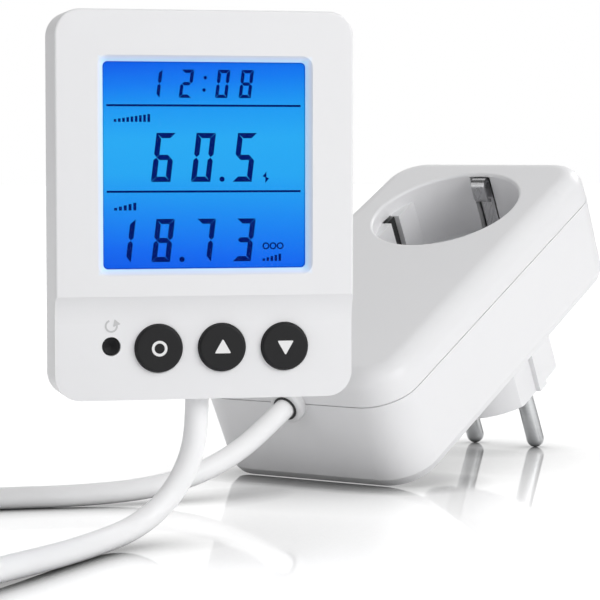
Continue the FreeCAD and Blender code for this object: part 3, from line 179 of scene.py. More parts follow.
# %% Nodes written as expressions
class Value:
    """A shader socket that can be used in Python maths."""

    tree = None

    def __init__(self, socket):
        self.socket = socket

    @classmethod
    def node(cls, kind, settings=None, **inputs):
        """Any node: its type, its settings, then its sockets by name, or by number after a _."""
        made = cls.tree.nodes.new(kind)
        for name, value in (settings or {}).items():
            if name == "stops":
                ramp = made.color_ramp
                while len(ramp.elements) < len(value):
                    ramp.elements.new(0.5)
                for element, (position, colour) in zip(ramp.elements, value):
                    element.position = position
                    element.color = (*colour, 1)
            else:
                setattr(made, name, value)
        for name, value in inputs.items():
            key = int(name[1:]) if name[0] == "_" else name.replace("_", " ")
            socket = made.inputs[key]
            if isinstance(value, Value):
                cls.tree.links.new(value.socket, socket)
            elif hasattr(value, "__len__") and socket.type == "RGBA" and len(value) == 3:
                socket.default_value = (*value, 1)
            else:
                socket.default_value = value
        return made

    @classmethod
    def maths(cls, operation, *values):
        inputs = {f"_{i}": value for i, value in enumerate(values)}
        return cls(cls.node("ShaderNodeMath", {"operation": operation}, **inputs).outputs[0])

    def __add__(self, other):
        return Value.maths("ADD", self, other)

    __radd__ = __add__

    def __mul__(self, other):
        return Value.maths("MULTIPLY", self, other)

    __rmul__ = __mul__

    def __sub__(self, other):
        return Value.maths("SUBTRACT", self, other)

    def __rsub__(self, other):
        return Value.maths("SUBTRACT", other, self)

    def above(self, edge):
        return Value.maths("GREATER_THAN", self, edge)

    def absolute(self):
        return Value.maths("ABSOLUTE", self)

    def clamped(self):
        return Value.maths("MINIMUM", Value.maths("MAXIMUM", self, 0.0), 1.0)


def mixed(share, first, second):
    """A colour between two others."""
    made = Value.node("ShaderNodeMix", {"data_type": "RGBA"}, _0=share, _6=first, _7=second)
    return Value(made.outputs[2])


def place(axis=None):
    """Where a point lies on the object, in metres, as a vector or along one axis."""
    where = Value.node("ShaderNodeTexCoord").outputs["Object"]
    if axis is None:
        return Value(where)
    split = Value.node("ShaderNodeSeparateXYZ", _0=Value(where))
    return Value(split.outputs[axis])


def grain(scale, detail=2.0, roughness=0.5):
    """Fine uneven noise, from 0 to 1."""
    made = Value.node("ShaderNodeTexNoise", None, Vector=place(), Scale=scale, Detail=detail,
                      Roughness=roughness)
    return Value(made.outputs["Fac"])


def bump(height, strength, distance):
    """A surface direction that follows a height."""
    made = Value.node("ShaderNodeBump", None, Height=height, Strength=strength, Distance=distance)
    return Value(made.outputs["Normal"])


def finish(name):
    """An empty material with its shader, ready for expressions."""
    material = bpy.data.materials.new(name)
    material.use_nodes = True
    Value.tree = material.node_tree
    return material, material.node_tree.nodes["Principled BSDF"]


def feed(shader, **inputs):
    """Put numbers, colours or expressions on the shader's sockets."""
    for name, value in inputs.items():
        socket = shader.inputs[name.replace("_", " ")]
        if isinstance(value, Value):
            Value.tree.links.new(value.socket, socket)
        elif hasattr(value, "__len__") and len(value) == 3 and socket.type == "RGBA":
            socket.default_value = (*value, 1)
        else:
            socket.default_value = value


# %% World
AMBIENT, FLAG_DARK = 0.40, 0.90
FLAG_EDGE, FLAG_RAMP = 0.30, 4


def ray_is(*kinds):
    """One for a ray of these kinds, zero for any other."""
    path = Value.node("ShaderNodeLightPath")
    return sum(Value(path.outputs[f"Is {kind} Ray"]) for kind in kinds).clamped()


world = bpy.data.worlds.new("studio")
scene.world = world
world.use_nodes = True
Value.tree = world.node_tree
Value.tree.nodes.clear()
seen = ray_is("Camera", "Glossy", "Transmission")
toward = Value(Value.node("ShaderNodeTexCoord").outputs["Generated"])
split = Value.node("ShaderNodeSeparateXYZ", _0=toward)
right, back = Value(split.outputs["X"]), Value(split.outputs["Y"])
sideways = right * math.cos(VIEW_TURN) + back * math.sin(VIEW_TURN)
flags = ((sideways.absolute() - FLAG_EDGE) * FLAG_RAMP).clamped() * ray_is("Glossy")
strength = AMBIENT + (1 - AMBIENT) * seen - FLAG_DARK * flags
sky = Value.node("ShaderNodeBackground", None, Color=(1, 1, 1), Strength=strength)
out_node = Value.node("ShaderNodeOutputWorld")
world.node_tree.links.new(sky.outputs[0], out_node.inputs["Surface"])
print("world nodes", len(world.node_tree.nodes))

# %% Lamps
BETWEEN_UNITS, HOUSING_TOP, UNDER_DISPLAY = (-0.02, -0.02, 0.05), (0.06, 0.06, 0.06), (-0.06, 0, 0.03)


def soft_lamp(name, spot, size, energy, target):
    """A rectangular lamp of a size in metres, aimed at a point."""
    bpy.ops.object.light_add(type="AREA", location=spot)
    lamp = bpy.context.object
    lamp.name = name
    lamp.data.shape = "RECTANGLE"
    lamp.data.size, lamp.data.size_y = size
    lamp.data.energy = energy
    lamp.rotation_euler = (Vector(target) - lamp.location).to_track_quat("-Z", "Y").to_euler()
    print(name, energy, "W")


soft_lamp("front_lamp", (0.75, -0.95, 0.62), (0.9, 0.7), 8.9, BETWEEN_UNITS)
soft_lamp("fill_lamp", (-0.16, -0.95, 0.26), (0.6, 0.35), 0.40, BETWEEN_UNITS)
soft_lamp("rear_lamp", (0.62, 0.42, 0.55), (0.4, 0.3), 1.8, HOUSING_TOP)
soft_lamp("left_lamp", (-0.97, -0.12, 0.34), (0.8, 0.5), 1.0, UNDER_DISPLAY)

# %% Table
TABLE_SIZE, TABLE_SHIFT = 8, 1.5
SHADOW_REACH, CONTACT_REACH, TABLE_GLOW = 0.045, 0.014, 0.92
MIRROR_END, MIRROR_FADE = 0.60, 3.0

bpy.ops.mesh.primitive_plane_add(size=TABLE_SIZE, location=(0, TABLE_SHIFT, 0))
table = bpy.context.object
table.name = "table"
table_finish, shader = finish("white_table")
seen = ray_is("Camera", "Glossy")
wide, close = [Value.node("ShaderNodeAmbientOcclusion", {"samples": 12}, Distance=reach)
               for reach in (SHADOW_REACH, CONTACT_REACH)]
wide, close = Value(wide.outputs["AO"]), Value(close.outputs["AO"])
openness = wide * close * close
bounce = mixed(close * close, (0.12, 0.12, 0.12), (0.92, 0.92, 0.92))
shown = mixed(openness, (0.10, 0.10, 0.10), (0.50, 0.50, 0.50))
feed(shader, Base_Color=mixed(seen, bounce, shown), Roughness=0.5, Specular_IOR_Level=0.0)
glow = Value.node("ShaderNodeEmission", None, Color=(1, 1, 1), Strength=TABLE_GLOW * openness)
soft = Value.node("ShaderNodeAddShader", None, _0=Value(shader.outputs[0]), _1=Value(glow.outputs[0]))
lit = Value.node("ShaderNodeMixShader", None, _0=seen, _1=Value(shader.outputs[0]),
                 _2=Value(soft.outputs[0]))

# %% The table's mirror
away, behind = place("X"), place("Y") + TABLE_SHIFT
distance = Value.maths("SQRT", away * away + behind * behind)
nearness = ((MIRROR_END - distance) * MIRROR_FADE).clamped()
slant = Value(Value.node("ShaderNodeFresnel", None, IOR=1.30).outputs[0]) * nearness
mirror = Value.node("ShaderNodeBsdfGlossy", None, Color=(1, 1, 1), Roughness=0.05)
polished = Value.node("ShaderNodeMixShader", None, _0=slant, _1=Value(lit.outputs[0]),
                      _2=Value(mirror.outputs[0]))
surface = Value.tree.nodes["Material Output"].inputs["Surface"]
Value.tree.links.new(polished.outputs[0], surface)
table.data.materials.append(table_finish)
print("table nodes", len(Value.tree.nodes))

# %% [markdown]
# ## Working by hand
# The small fittings below are modelled as by hand: a primitive at its size and place, then
# extrude, inset and bevel in edit mode. A few helpers keep that short. Some start clean and pick
# faces or edges by a rule, some make what comes again and again: a block, softened edges, a flat
# frame. The last one closes the work, so that a finished piece sits at the origin with its place
# in its mesh, like the CAD parts.

# %% Picking
ALIGNED = 0.9


def start_clean():
    """Leave edit mode and let go of everything."""
    if bpy.context.mode != "OBJECT":
        bpy.ops.object.mode_set(mode="OBJECT")
    bpy.ops.object.select_all(action="DESELECT")


def pick_nothing():
    """Leave edit mode with nothing selected, and return the active piece's mesh."""
    bpy.ops.object.mode_set(mode="OBJECT")
    mesh = bpy.context.object.data
    for group in (mesh.vertices, mesh.edges, mesh.polygons):
        group.foreach_set("select", [False] * len(group))
    return mesh


def pick_faces(rule):
    """Select the faces of the active piece whose centre and normal pass the rule, in edit mode."""
    for face in pick_nothing().polygons:
        face.select = rule(face.center, face.normal)
    bpy.ops.object.mode_set(mode="EDIT")
    bpy.ops.mesh.select_mode(type="FACE")


def pick_edges_along(axis):
    """Select the straight edges of the active piece that run along x, y or z, in edit mode."""
    mesh = pick_nothing()
    for edge in mesh.edges:
        start, end = [mesh.vertices[i].co for i in edge.vertices]
        edge.select = abs((end - start).normalized()[axis]) > ALIGNED
    bpy.ops.object.mode_set(mode="EDIT")
    bpy.ops.mesh.select_mode(type="EDGE")


# %% Blocks, soft edges and frames
def block(size, spot=(0, 0, 0)):
    """A cube brought to its size in mm, at a spot."""
    start_clean()
    bpy.ops.mesh.primitive_cube_add(size=1, location=spot)
    piece = bpy.context.object
    piece.scale = millimetres(*size)
    bpy.ops.object.transform_apply(location=False, rotation=False, scale=True)
    return piece


def soften(width, segments):
    """Bevel every edge of the active piece by a width in mm."""
    bpy.ops.object.mode_set(mode="EDIT")
    bpy.ops.mesh.select_all(action="SELECT")
    bpy.ops.mesh.bevel(offset=width * MM, segments=segments)
    bpy.ops.object.mode_set(mode="OBJECT")


def open_middle(band, axis):
    """Make a frame of the active flat piece: inset its two faces by a band in mm and bridge them."""
    pick_faces(lambda centre, normal: abs(normal[axis]) > ALIGNED)
    bpy.ops.mesh.inset(thickness=band * MM)
    bpy.ops.mesh.bridge_edge_loops()
    bpy.ops.object.mode_set(mode="OBJECT")


def cut_away(piece, blade):
    """Take one piece's shape out of another."""
    modifier = piece.modifiers.new("cut", "BOOLEAN")
    modifier.operation = "DIFFERENCE"
    modifier.object = blade
    bpy.context.view_layer.objects.active = piece
    bpy.ops.object.modifier_apply(modifier=modifier.name)
    bpy.data.objects.remove(blade)


# %% Copies and finished pieces
def copy_piece(piece, matrix):
    """A copy with its own mesh, put in its place by a matrix."""
    made = piece.copy()
    made.data = piece.data.copy()
    scene.collection.objects.link(made)
    made.matrix_world = matrix @ piece.matrix_world
    return made


def close_piece(pieces, name, body, material):
    """Join the pieces, settle them at the origin, face them outwards and let them ride on a body."""
    start_clean()
    for piece in pieces:
        piece.select_set(True)
    bpy.context.view_layer.objects.active = pieces[0]
    if len(pieces) > 1:
        bpy.ops.object.join()
    bpy.ops.object.transform_apply(location=True, rotation=True, scale=True)
    bpy.ops.object.mode_set(mode="EDIT")
    bpy.ops.mesh.select_all(action="SELECT")
    bpy.ops.mesh.remove_doubles(threshold=1e-6)
    bpy.ops.mesh.normals_make_consistent(inside=False)
    bpy.ops.object.mode_set(mode="OBJECT")
    piece = bpy.context.object
    piece.name = piece.data.name = name
    piece.data.materials.clear()
    piece.data.materials.append(material)
    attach(piece, body)
    print(name, len(piece.data.polygons), "faces")
    return piece


# %% [markdown]
# ## The picture on the screen
# A screen like this shows slanted seven-segment figures in dark blue on a lit blue ground. Each
# figure is built as the real one is, from seven bars whose ends are mitred, with hair-thin gaps.
# A bar is a cube whose two ends are drawn out, narrowed and pushed to one edge where it turns a
# corner. Four kinds are enough: turned by half a turn they also serve on the other side. They are
# modelled once for each row and copied to their places. The figures are plain numbers.

# %% Where the display stands
DISPLAY_FOOT = (-52.05, -89.5, 30.1)
INK_DEPTH, INK_THICK = 2.5, 0.05


def on_display(x, y, z):
    """A point of the display: x right, y up from its bottom edge, z depth behind its face, in mm."""
    return millimetres(DISPLAY_FOOT[0] + x, DISPLAY_FOOT[1] + z, DISPLAY_FOOT[2] + y)


print("display foot", [round(c, 4) for c in on_display(0, 0, 0)])

# %% One bar
SLANT = math.tan(math.radians(7))
TIP, BAR_GAP = 0.06, 0.16
# For each bar of a figure: its kind, its side, its level in quarters of the height, its half turns.
BAR_PLACES = {"a": ("top", 0.5, 4, 0), "g": ("middle", 0.5, 2, 0), "d": ("top", 0.5, 0, 1),
              "f": ("left", 0, 3, 0), "b": ("right", 1, 3, 0), "c": ("left", 1, 1, 1),
              "e": ("right", 0, 1, 1)}
SEGMENTS = {"0": "abcdef", "1": "bc", "2": "abged", "3": "abgcd", "5": "afgcd",
            "6": "afgecd", "7": "abc", "8": "abcdefg"}


def bar(length, width, left, right):
    """A flat bar along x, in mm. Each end is mitred: 0 points it in the middle, 1 up, -1 down."""
    piece = block((length - width, INK_THICK, width))
    half_width = width / 2 * MM
    for side, lift in ((-1, left), (1, right)):
        pick_faces(lambda centre, normal: normal.x * side > ALIGNED)
        reach = side * half_width * (1 + abs(lift))
        bpy.ops.mesh.extrude_region_move(TRANSFORM_OT_translate={"value": (reach, 0, 0)})
        bpy.ops.transform.resize(value=(1, 1, TIP))
        bpy.ops.transform.translate(value=(0, 0, lift * half_width * (1 - TIP)))
        bpy.ops.object.mode_set(mode="OBJECT")
    return piece


# %% One figure and one row
def figure(text, bars, left, bottom, width, height, thick):
    """Copies of the bars that make one figure, slanted to the right."""
    half = (height - thick) / 4
    run = width - thick - SLANT * (height - thick)
    made = []
    for name in SEGMENTS[text]:
        kind, side, level, turned = BAR_PLACES[name]
        rise = level * half
        at = on_display(left + thick / 2 + SLANT * rise + side * run, bottom + thick / 2 + rise, INK_DEPTH)
        turn = Matrix.Rotation(math.pi * turned, 4, "Y")
        if kind in ("left", "right"):
            turn = Matrix.Rotation(math.atan(SLANT), 4, "Y") @ turn @ Matrix.Rotation(-math.pi / 2, 4, "Y")
        made.append(copy_piece(bars[kind], Matrix.Translation(at) @ turn))
    return made


def row_of_figures(figures, bottom, height, width, thick):
    """A row: its four kinds of bar are modelled once and copied to every figure."""
    run = width - thick - SLANT * (height - thick) - BAR_GAP
    rise = (height - thick) / 2 * math.hypot(1, SLANT) - BAR_GAP
    bars = {"top": bar(run, thick, 1, 1), "middle": bar(run, thick, 0, 0),
            "left": bar(rise, thick, 0, 1), "right": bar(rise, thick, 0, -1)}
    made = []
    for text, left in figures:
        made += figure(text, bars, left, bottom, width, height, thick)
    for piece in bars.values():
        bpy.data.objects.remove(piece)
    return made


def disc(sides, radius, thick, spot, turn=0):
    """A flat disc that faces the reader. With three sides it is a triangle that points up."""
    start_clean()
    bpy.ops.mesh.primitive_cylinder_add(vertices=sides, radius=radius * MM, depth=thick * MM,
                                        location=spot, rotation=(math.pi / 2, turn, 0))
    return bpy.context.object


def dot(x, y, size):
    """A round dot, also used for a colon."""
    return disc(20, size / 2, INK_THICK, on_display(x, y, INK_DEPTH))


# %% Ink, and the three rows
ink, shader = finish("screen_ink")
shade = mixed(grain(900.0), (0.0005, 0.006, 0.12), (0.0005, 0.009, 0.16))
feed(shader, Base_Color=shade, Roughness=0.6, Specular_IOR_Level=0.0)

top_row = row_of_figures([("1", -11.65), ("2", -5.15), ("0", 2.35), ("8", 7.25)],
                         bottom=61.3, height=5.72, width=3.15, thick=0.68)
top_row += [dot(0.05, 62.9, 0.72), dot(0.30, 65.4, 0.72)]
middle_row = row_of_figures([("6", -10.9), ("0", -2.65), ("5", 5.95)],
                            bottom=44.25, height=9.95, width=5.1, thick=1.08)
middle_row += [dot(3.75, 44.8, 1.08)]
low_row = row_of_figures([("1", -18.9), ("8", -10.85), ("7", -2.35), ("3", 5.95)],
                         bottom=28.0, height=8.75, width=4.75, thick=1.04)
low_row += [dot(-4.6, 28.5, 1.1)]
close_piece(top_row, "clock_figures", "meter", ink)
close_piece(middle_row, "power_figures", "meter", ink)
close_piece(low_row, "total_figures", "meter", ink)

# %% [markdown]
# The two thin lines that part the rows and the small signs are made the same way, from a block or
# a disc. The signs are plain marks: rising bars, coins and a spark.

# %% Lines
LINE_ENDS, LINE_FEET, LINE_WIDTH = (-20.0, 20.2), (59.53, 42.08), 0.43


def plate(x0, x1, y0, y1):
    """A thin upright plate between two corners, in the display's millimetres, with soft edges."""
    piece = block((x1 - x0, INK_THICK, y1 - y0), on_display((x0 + x1) / 2, (y0 + y1) / 2, INK_DEPTH))
    soften(INK_THICK * 0.2, 1)
    return piece


lines = [plate(*LINE_ENDS, foot, foot + LINE_WIDTH) for foot in LINE_FEET]
close_piece(lines, "screen_lines", "meter", ink)

# %% Signs
BAR_SHARE, FIRST_HEIGHT = 0.62, 0.35
SPARK_SHIFT, SPARK_RISE, SPARK_REACH, SPARK_SLIM = 0.08, 0.22, 0.42, 0.6


def rising_bars(x, y, count, step, height):
    """A row of small bars, each taller than the one before."""
    shares = [FIRST_HEIGHT + (1 - FIRST_HEIGHT) * i / (count - 1) for i in range(count)]
    return [plate(x + i * step, x + (i + BAR_SHARE) * step, y, y + height * share)
            for i, share in enumerate(shares)]


def ring(x, y, size, depth=INK_DEPTH, thick=INK_THICK, band=0.28, sides=32):
    """A flat ring: a disc with its middle opened."""
    piece = disc(sides, size / 2, thick, on_display(x, y, depth))
    bpy.ops.object.transform_apply(location=False, rotation=True, scale=False)
    open_middle(band, 1)
    return piece


def spark(x, y, size):
    """A small spark: a triangle above, and its turned copy below."""
    made = []
    for side, turn in ((1, 20), (-1, 200)):
        spot = on_display(x - side * size * SPARK_SHIFT, y + side * size * SPARK_RISE, INK_DEPTH)
        piece = disc(3, size * SPARK_REACH, INK_THICK, spot, math.radians(turn))
        piece.scale.x = SPARK_SLIM
        made.append(piece)
    return made


signs = rising_bars(-18.5, 56.4, count=9, step=0.86, height=1.6)
signs += rising_bars(-18.5, 38.5, count=5, step=0.98, height=1.55)
signs += spark(12.9, 45.15, 1.9)
signs += [ring(x, 31.1, 1.45) for x in (12.9, 14.4, 15.9)]
signs += rising_bars(12.2, 28.0, count=5, step=0.84, height=1.45)
close_piece(signs, "screen_signs", "meter", ink)

# %% [markdown]
# ## Behind the screen cover
# The screen glows from behind: deep blue at the top and bottom edges, light blue across the
# middle. That glow is emission on the glass, coloured by height. A slim frame in the same colours,
# only darker, marks the edge of the screen. The clear cover is a thin plate with bevelled edges,
# almost invisible apart from its gloss.

# %% Glass
SCREEN_STOPS = [(0.0, (0.006, 0.105, 0.80)), (0.10, (0.008, 0.145, 0.86)), (0.28, (0.014, 0.26, 0.88)),
                (0.46, (0.022, 0.39, 0.89)), (0.62, (0.024, 0.41, 0.90)), (0.76, (0.015, 0.33, 0.89)),
                (0.88, (0.008, 0.20, 0.87)), (1.0, (0.005, 0.11, 0.82))]
SCREEN_FOOT, SCREEN_HEIGHT = 0.05675, 0.0418
SCREEN_MIDDLE, SCREEN_HALF = DISPLAY_FOOT[0] * MM, 0.021
SIDE_SPREAD, UNEVEN = 0.075, 0.02


def dress(node, material):
    """Give a CAD part its finish."""
    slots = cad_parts[node].data.materials
    slots.clear()
    slots.append(material)


def screen_finish(name, strength):
    """The backlight: a colour for each height, its middle band a little wider on the left."""
    material, shader = finish(name)
    height = (place("Z") - SCREEN_FOOT) * (1 / SCREEN_HEIGHT)
    spread = 1.0 - SIDE_SPREAD * (1 + (place("X") - SCREEN_MIDDLE) * (1 / SCREEN_HALF))
    height = 0.5 + (height - 0.5) * spread + UNEVEN * (grain(120.0) - 0.5)
    glow = Value(Value.node("ShaderNodeValToRGB", {"stops": SCREEN_STOPS}, Fac=height).outputs["Color"])
    feed(shader, Base_Color=(0.001, 0.004, 0.02), Roughness=0.5, Specular_IOR_Level=0.0,
         Emission_Color=glow, Emission_Strength=strength)
    return material


dress("lcd_glass", screen_finish("lit_screen", 1.0))
print("colours up the screen", len(SCREEN_STOPS))

# %% Dark edge of the screen
WINDOW_MIDDLE, FRAME_DEPTH, FRAME_THICK, FRAME_CORNER = 47.6, 1.55, 0.05, 1.2


def window_frame(half, band):
    """A thin square frame with round corners, round the middle of the window, in mm."""
    piece = block((2 * half, FRAME_THICK, 2 * half), on_display(0, WINDOW_MIDDLE, FRAME_DEPTH))
    pick_edges_along(1)
    bpy.ops.mesh.bevel(offset=FRAME_CORNER * MM, segments=8)
    open_middle(band, 1)
    return piece


screen_edge = screen_finish("screen_edge", 0.62)
close_piece([window_frame(21.1, 0.38)], "screen_border", "meter", screen_edge)

# %% Clear cover
COVER_SIDE, COVER_THICK, COVER_DEPTH = 44.6, 0.55, 2.1

clear, shader = finish("clear_cover")
feed(shader, Base_Color=(0.02, 0.15, 0.60), Roughness=0.04 + 0.05 * grain(40.0), Alpha=0.02)
cover = block((COVER_SIDE, COVER_THICK, COVER_SIDE), on_display(0, WINDOW_MIDDLE, COVER_DEPTH))
soften(0.12, 2)
clear_cover = close_piece([cover], "clear_cover", "meter", clear)
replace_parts(clear_cover, "window_lens")

# %% [markdown]
# ## Marks on the keys
# The keys are moulded in dark plastic and printed in white. Plain signs stand on them: a ring, a triangle
# that points up and one that points down. Each is a thin shape that rides with its key, and the triangles
# have rounded corners.

# %% Key marks
SET_KEY, UP_KEY, DOWN_KEY, KEY_HEIGHT = -9.64, 3.46, 16.56, 10.5
KEY_FACE, PRINT_THICK, SIGN_SIZE, SIGN_SHIFT = 0.38, 0.06, 3.4, 0.2
TRIANGLE_REACH, CORNER_CUT = 0.58, 0.09

print_white, shader = finish("key_print")
feed(shader, Base_Color=mixed(grain(700.0), (0.80, 0.80, 0.80), (0.88, 0.88, 0.88)), Roughness=0.5)


def triangle(x, y, size, turn, depth, thick):
    """A flat triangle with rounded corners, which points up before it is turned."""
    start_clean()
    bpy.ops.mesh.primitive_cylinder_add(vertices=3, radius=size * TRIANGLE_REACH * MM, depth=thick * MM)
    piece = bpy.context.object
    pick_edges_along(2)
    bpy.ops.mesh.bevel(offset=size * CORNER_CUT * MM, segments=4)
    bpy.ops.object.mode_set(mode="OBJECT")
    piece.rotation_euler = (math.pi / 2, turn, 0)
    piece.location = on_display(x, y, depth)
    return piece


set_sign = ring(SET_KEY, KEY_HEIGHT, 3.2, KEY_FACE, PRINT_THICK, band=0.55, sides=48)
close_piece([set_sign], "set_mark", "set_key", print_white)
up_sign = triangle(UP_KEY, KEY_HEIGHT - SIGN_SHIFT, SIGN_SIZE, 0, KEY_FACE, PRINT_THICK)
close_piece([up_sign], "up_mark", "up_key", print_white)
down_sign = triangle(DOWN_KEY, KEY_HEIGHT + SIGN_SHIFT, SIGN_SIZE, math.pi, KEY_FACE, PRINT_THICK)
close_piece([down_sign], "down_mark", "down_key", print_white)

# %% [markdown]
# ## Plastic, rubber and metal
# Both cases are white moulded plastic with a very fine texture, which breaks up the gloss. The keys are
# darker and softer. Each finish is an expression on object coordinates. Two of the whites carry painted
# light by place: the front cover has a painted blue glow of the screen's light on the bevel round its
# window, and the housing's top has painted shade that greys it down the walls of the recess.

# %% White and dark plastics
def plastic(name, light, dark, roughness, texture=0.04, scale=1800.0, gloss=0.5):
    """A moulded plastic: a faint unevenness in its colour and a fine texture in its gloss."""
    material, shader = finish(name)
    cloud = grain(45.0, 3.0)
    fine = grain(scale, 2.0, 0.6)
    feed(shader, Base_Color=mixed(cloud, dark, light), Roughness=roughness + 0.10 * (fine - 0.5),
         Specular_IOR_Level=gloss, Normal=bump(fine, texture, 0.0001))
    return material


CASE_WHITES, CASE_GLOSS = ((0.87, 0.87, 0.88), (0.85, 0.85, 0.865)), 0.42
HOUSING_WHITES, HOUSING_GLOSS = ((0.85, 0.85, 0.86), (0.83, 0.83, 0.845)), 0.36

white_case = plastic("white_case", *CASE_WHITES, CASE_GLOSS)
white_housing = plastic("white_housing", *HOUSING_WHITES, HOUSING_GLOSS)
dark_keys = plastic("dark_keys", (0.014, 0.014, 0.015), (0.010, 0.010, 0.011), 0.50, 0.08, 2600.0, 0.22)
pale_inside = plastic("pale_inside", (0.62, 0.62, 0.61), (0.56, 0.56, 0.55), 0.5)
black_inside = plastic("black_inside", (0.022, 0.022, 0.023), (0.016, 0.016, 0.017), 0.5)
grey_ring = plastic("grey_ring", (0.78, 0.78, 0.79), (0.74, 0.74, 0.75), 0.4)
yellow_box = plastic("yellow_box", (0.60, 0.42, 0.03), (0.52, 0.36, 0.025), 0.35)
pink_rubber = plastic("pink_rubber", (0.62, 0.40, 0.36), (0.55, 0.34, 0.30), 0.7, 0.2)
guide_clear = plastic("guide_clear", (0.75, 0.85, 0.95), (0.70, 0.80, 0.92), 0.15)
tie_black = plastic("tie_black", (0.030, 0.030, 0.031), (0.020, 0.020, 0.021), 0.65, 0.5, 900.0)

# %% White with the screen's light painted on its bevel
WINDOW_HEIGHT, WINDOW_EDGE, BEVEL_WIDTH = 0.0777, 0.02095, 0.0013


def reopen(material):
    """Go on with a finished material: its shader, and the colour that feeds it so far."""
    Value.tree = material.node_tree
    shader = material.node_tree.nodes["Principled BSDF"]
    return shader, Value(shader.inputs["Base Color"].links[0].from_socket)


window_case_painted_glow = plastic("window_case_painted_glow", *CASE_WHITES, CASE_GLOSS)
shader, plain = reopen(window_case_painted_glow)
across, up = (place("X") - SCREEN_MIDDLE).absolute(), (place("Z") - WINDOW_HEIGHT).absolute()
painted_glow = (1 - (Value.maths("MAXIMUM", across, up) - WINDOW_EDGE) * (1 / BEVEL_WIDTH)).clamped()
# Painted light: the bevel round the window gets a blue tint and a blue glow of the screen's light, though
# the case is no lamp.
feed(shader, Base_Color=mixed(painted_glow * painted_glow, plain, (0.70, 0.82, 0.87)), Emission_Strength=1.0,
     Emission_Color=mixed(painted_glow, (0, 0, 0), (0.0, 0.12, 0.30)))
print("window finish nodes", len(Value.tree.nodes))

# %% White with painted shade down the recess
RECESS_EDGE, RECESS_TOP, SHADE_DEPTH = 0.0204, 0.0306, 0.013

recess_painted_shade = plastic("recess_painted_shade", *HOUSING_WHITES, HOUSING_GLOSS)
shader, plain = reopen(recess_painted_shade)
away = [place(name) - origin for name, origin in zip("XYZ", PLUG_FOOT)]
along, across, up = [away[0] * way[0] + away[1] * way[1] + away[2] * way[2]
                     for way in (ALONG, ACROSS, OUTWARD)]
inside = 1 - (along * along + across * across).above(RECESS_EDGE ** 2)
depth = ((RECESS_TOP - up) * (1 / SHADE_DEPTH)).clamped() * inside
# Painted shade: the white turns grey with depth inside the recess, where less light reaches.
feed(shader, Base_Color=mixed(depth, plain, (0.66, 0.66, 0.675)))
print("recess finish nodes", len(Value.tree.nodes))

# %% [markdown]
# ## The turning arrow
# Above the small reset hole a turning arrow is pressed into the case. Here it is a thin flat mark, and its
# grey is painted shade for the pressing. It is an open arc with a head. The arc's end face, a small plane,
# is spun round its middle. The head is a triangle that stands a little higher, so that the two faces don't
# fight where they cross.

# %% Turning arrow above the reset hole
ARC_STEPS, MARK_DEPTH = 24, 1.47


def arc(x, y, radius, band, depth, thick, first, sweep):
    """A flat bar bent round a point: its end face is spun round that point."""
    start_clean()
    angle = math.radians(first)
    at = on_display(x + radius * math.cos(angle), y + radius * math.sin(angle), depth)
    bpy.ops.mesh.primitive_plane_add(size=1, location=at, rotation=(0, -angle, 0))
    piece = bpy.context.object
    piece.scale = millimetres(band, thick, 1)
    bpy.ops.object.transform_apply(location=True, rotation=True, scale=True)
    bpy.ops.object.mode_set(mode="EDIT")
    bpy.ops.mesh.select_all(action="SELECT")
    bpy.ops.mesh.spin(steps=ARC_STEPS, angle=-math.radians(sweep), center=on_display(x, y, depth),
                      axis=(0, 1, 0))
    bpy.ops.mesh.select_all(action="SELECT")
    bpy.ops.mesh.fill_holes(sides=4)
    bpy.ops.object.mode_set(mode="OBJECT")
    return piece


# The mark's grey is painted shade for an arrow pressed into the case.
mark_painted_shade = plastic("mark_painted_shade", (0.60, 0.60, 0.61), (0.56, 0.56, 0.57), 0.5)
arrow = [arc(-19.35, 15.15, radius=1.15, band=0.36, depth=MARK_DEPTH, thick=0.10, first=20, sweep=270),
         triangle(-18.36, 15.70, 1.60, math.radians(-20), MARK_DEPTH, 0.13)]
close_piece(arrow, "reset_mark", "meter", mark_painted_shade)

# %% [markdown]
# ## Painted shade in small dark places
# A slot or a hole looks dark because no light comes back out of it. Here that shade is painted: inside the
# guide slots of the recess two thin black sheets stand in for it, and a thin black ring stands in for the
# shadow where the lead enters its gland. Inside the guide slots of the
# recess two thin dark shields do this, and a dark lip marks where the lead enters its gland.

# %% Black sheets as painted shade inside the slots of the recess
SHADE_SHEET_WIDTH, SHADE_SHEET_THICK, SHADE_SHEET_AWAY = 4.1, 0.4, 18.3
SHADE_SHEET_FOOT, SHADE_SHEET_TOP = 14.2, 27.7


def slot_shade_sheet(side):
    """A thin black sheet of painted shade inside one guide slot, its edges softened, square to the housing.
    """
    piece = block((SHADE_SHEET_WIDTH, SHADE_SHEET_THICK, SHADE_SHEET_TOP - SHADE_SHEET_FOOT))
    soften(0.1, 2)
    turned = Matrix((ALONG, ACROSS, OUTWARD)).transposed().to_4x4()
    spot = on_housing(0, side * SHADE_SHEET_AWAY, (SHADE_SHEET_FOOT + SHADE_SHEET_TOP) / 2)
    piece.matrix_world = Matrix.Translation(spot) @ turned
    return piece


# These black sheets stand in for the shade deep in the slots.
close_piece([slot_shade_sheet(-1), slot_shade_sheet(1)], "slot_shade_sheets", "meter", black_inside)

# %% Black ring as painted shadow where the lead enters the gland
SHADE_RING_RADIUS, SHADE_RING_THICK, SHADE_RING_BAND = 3.1, 0.4, 0.52

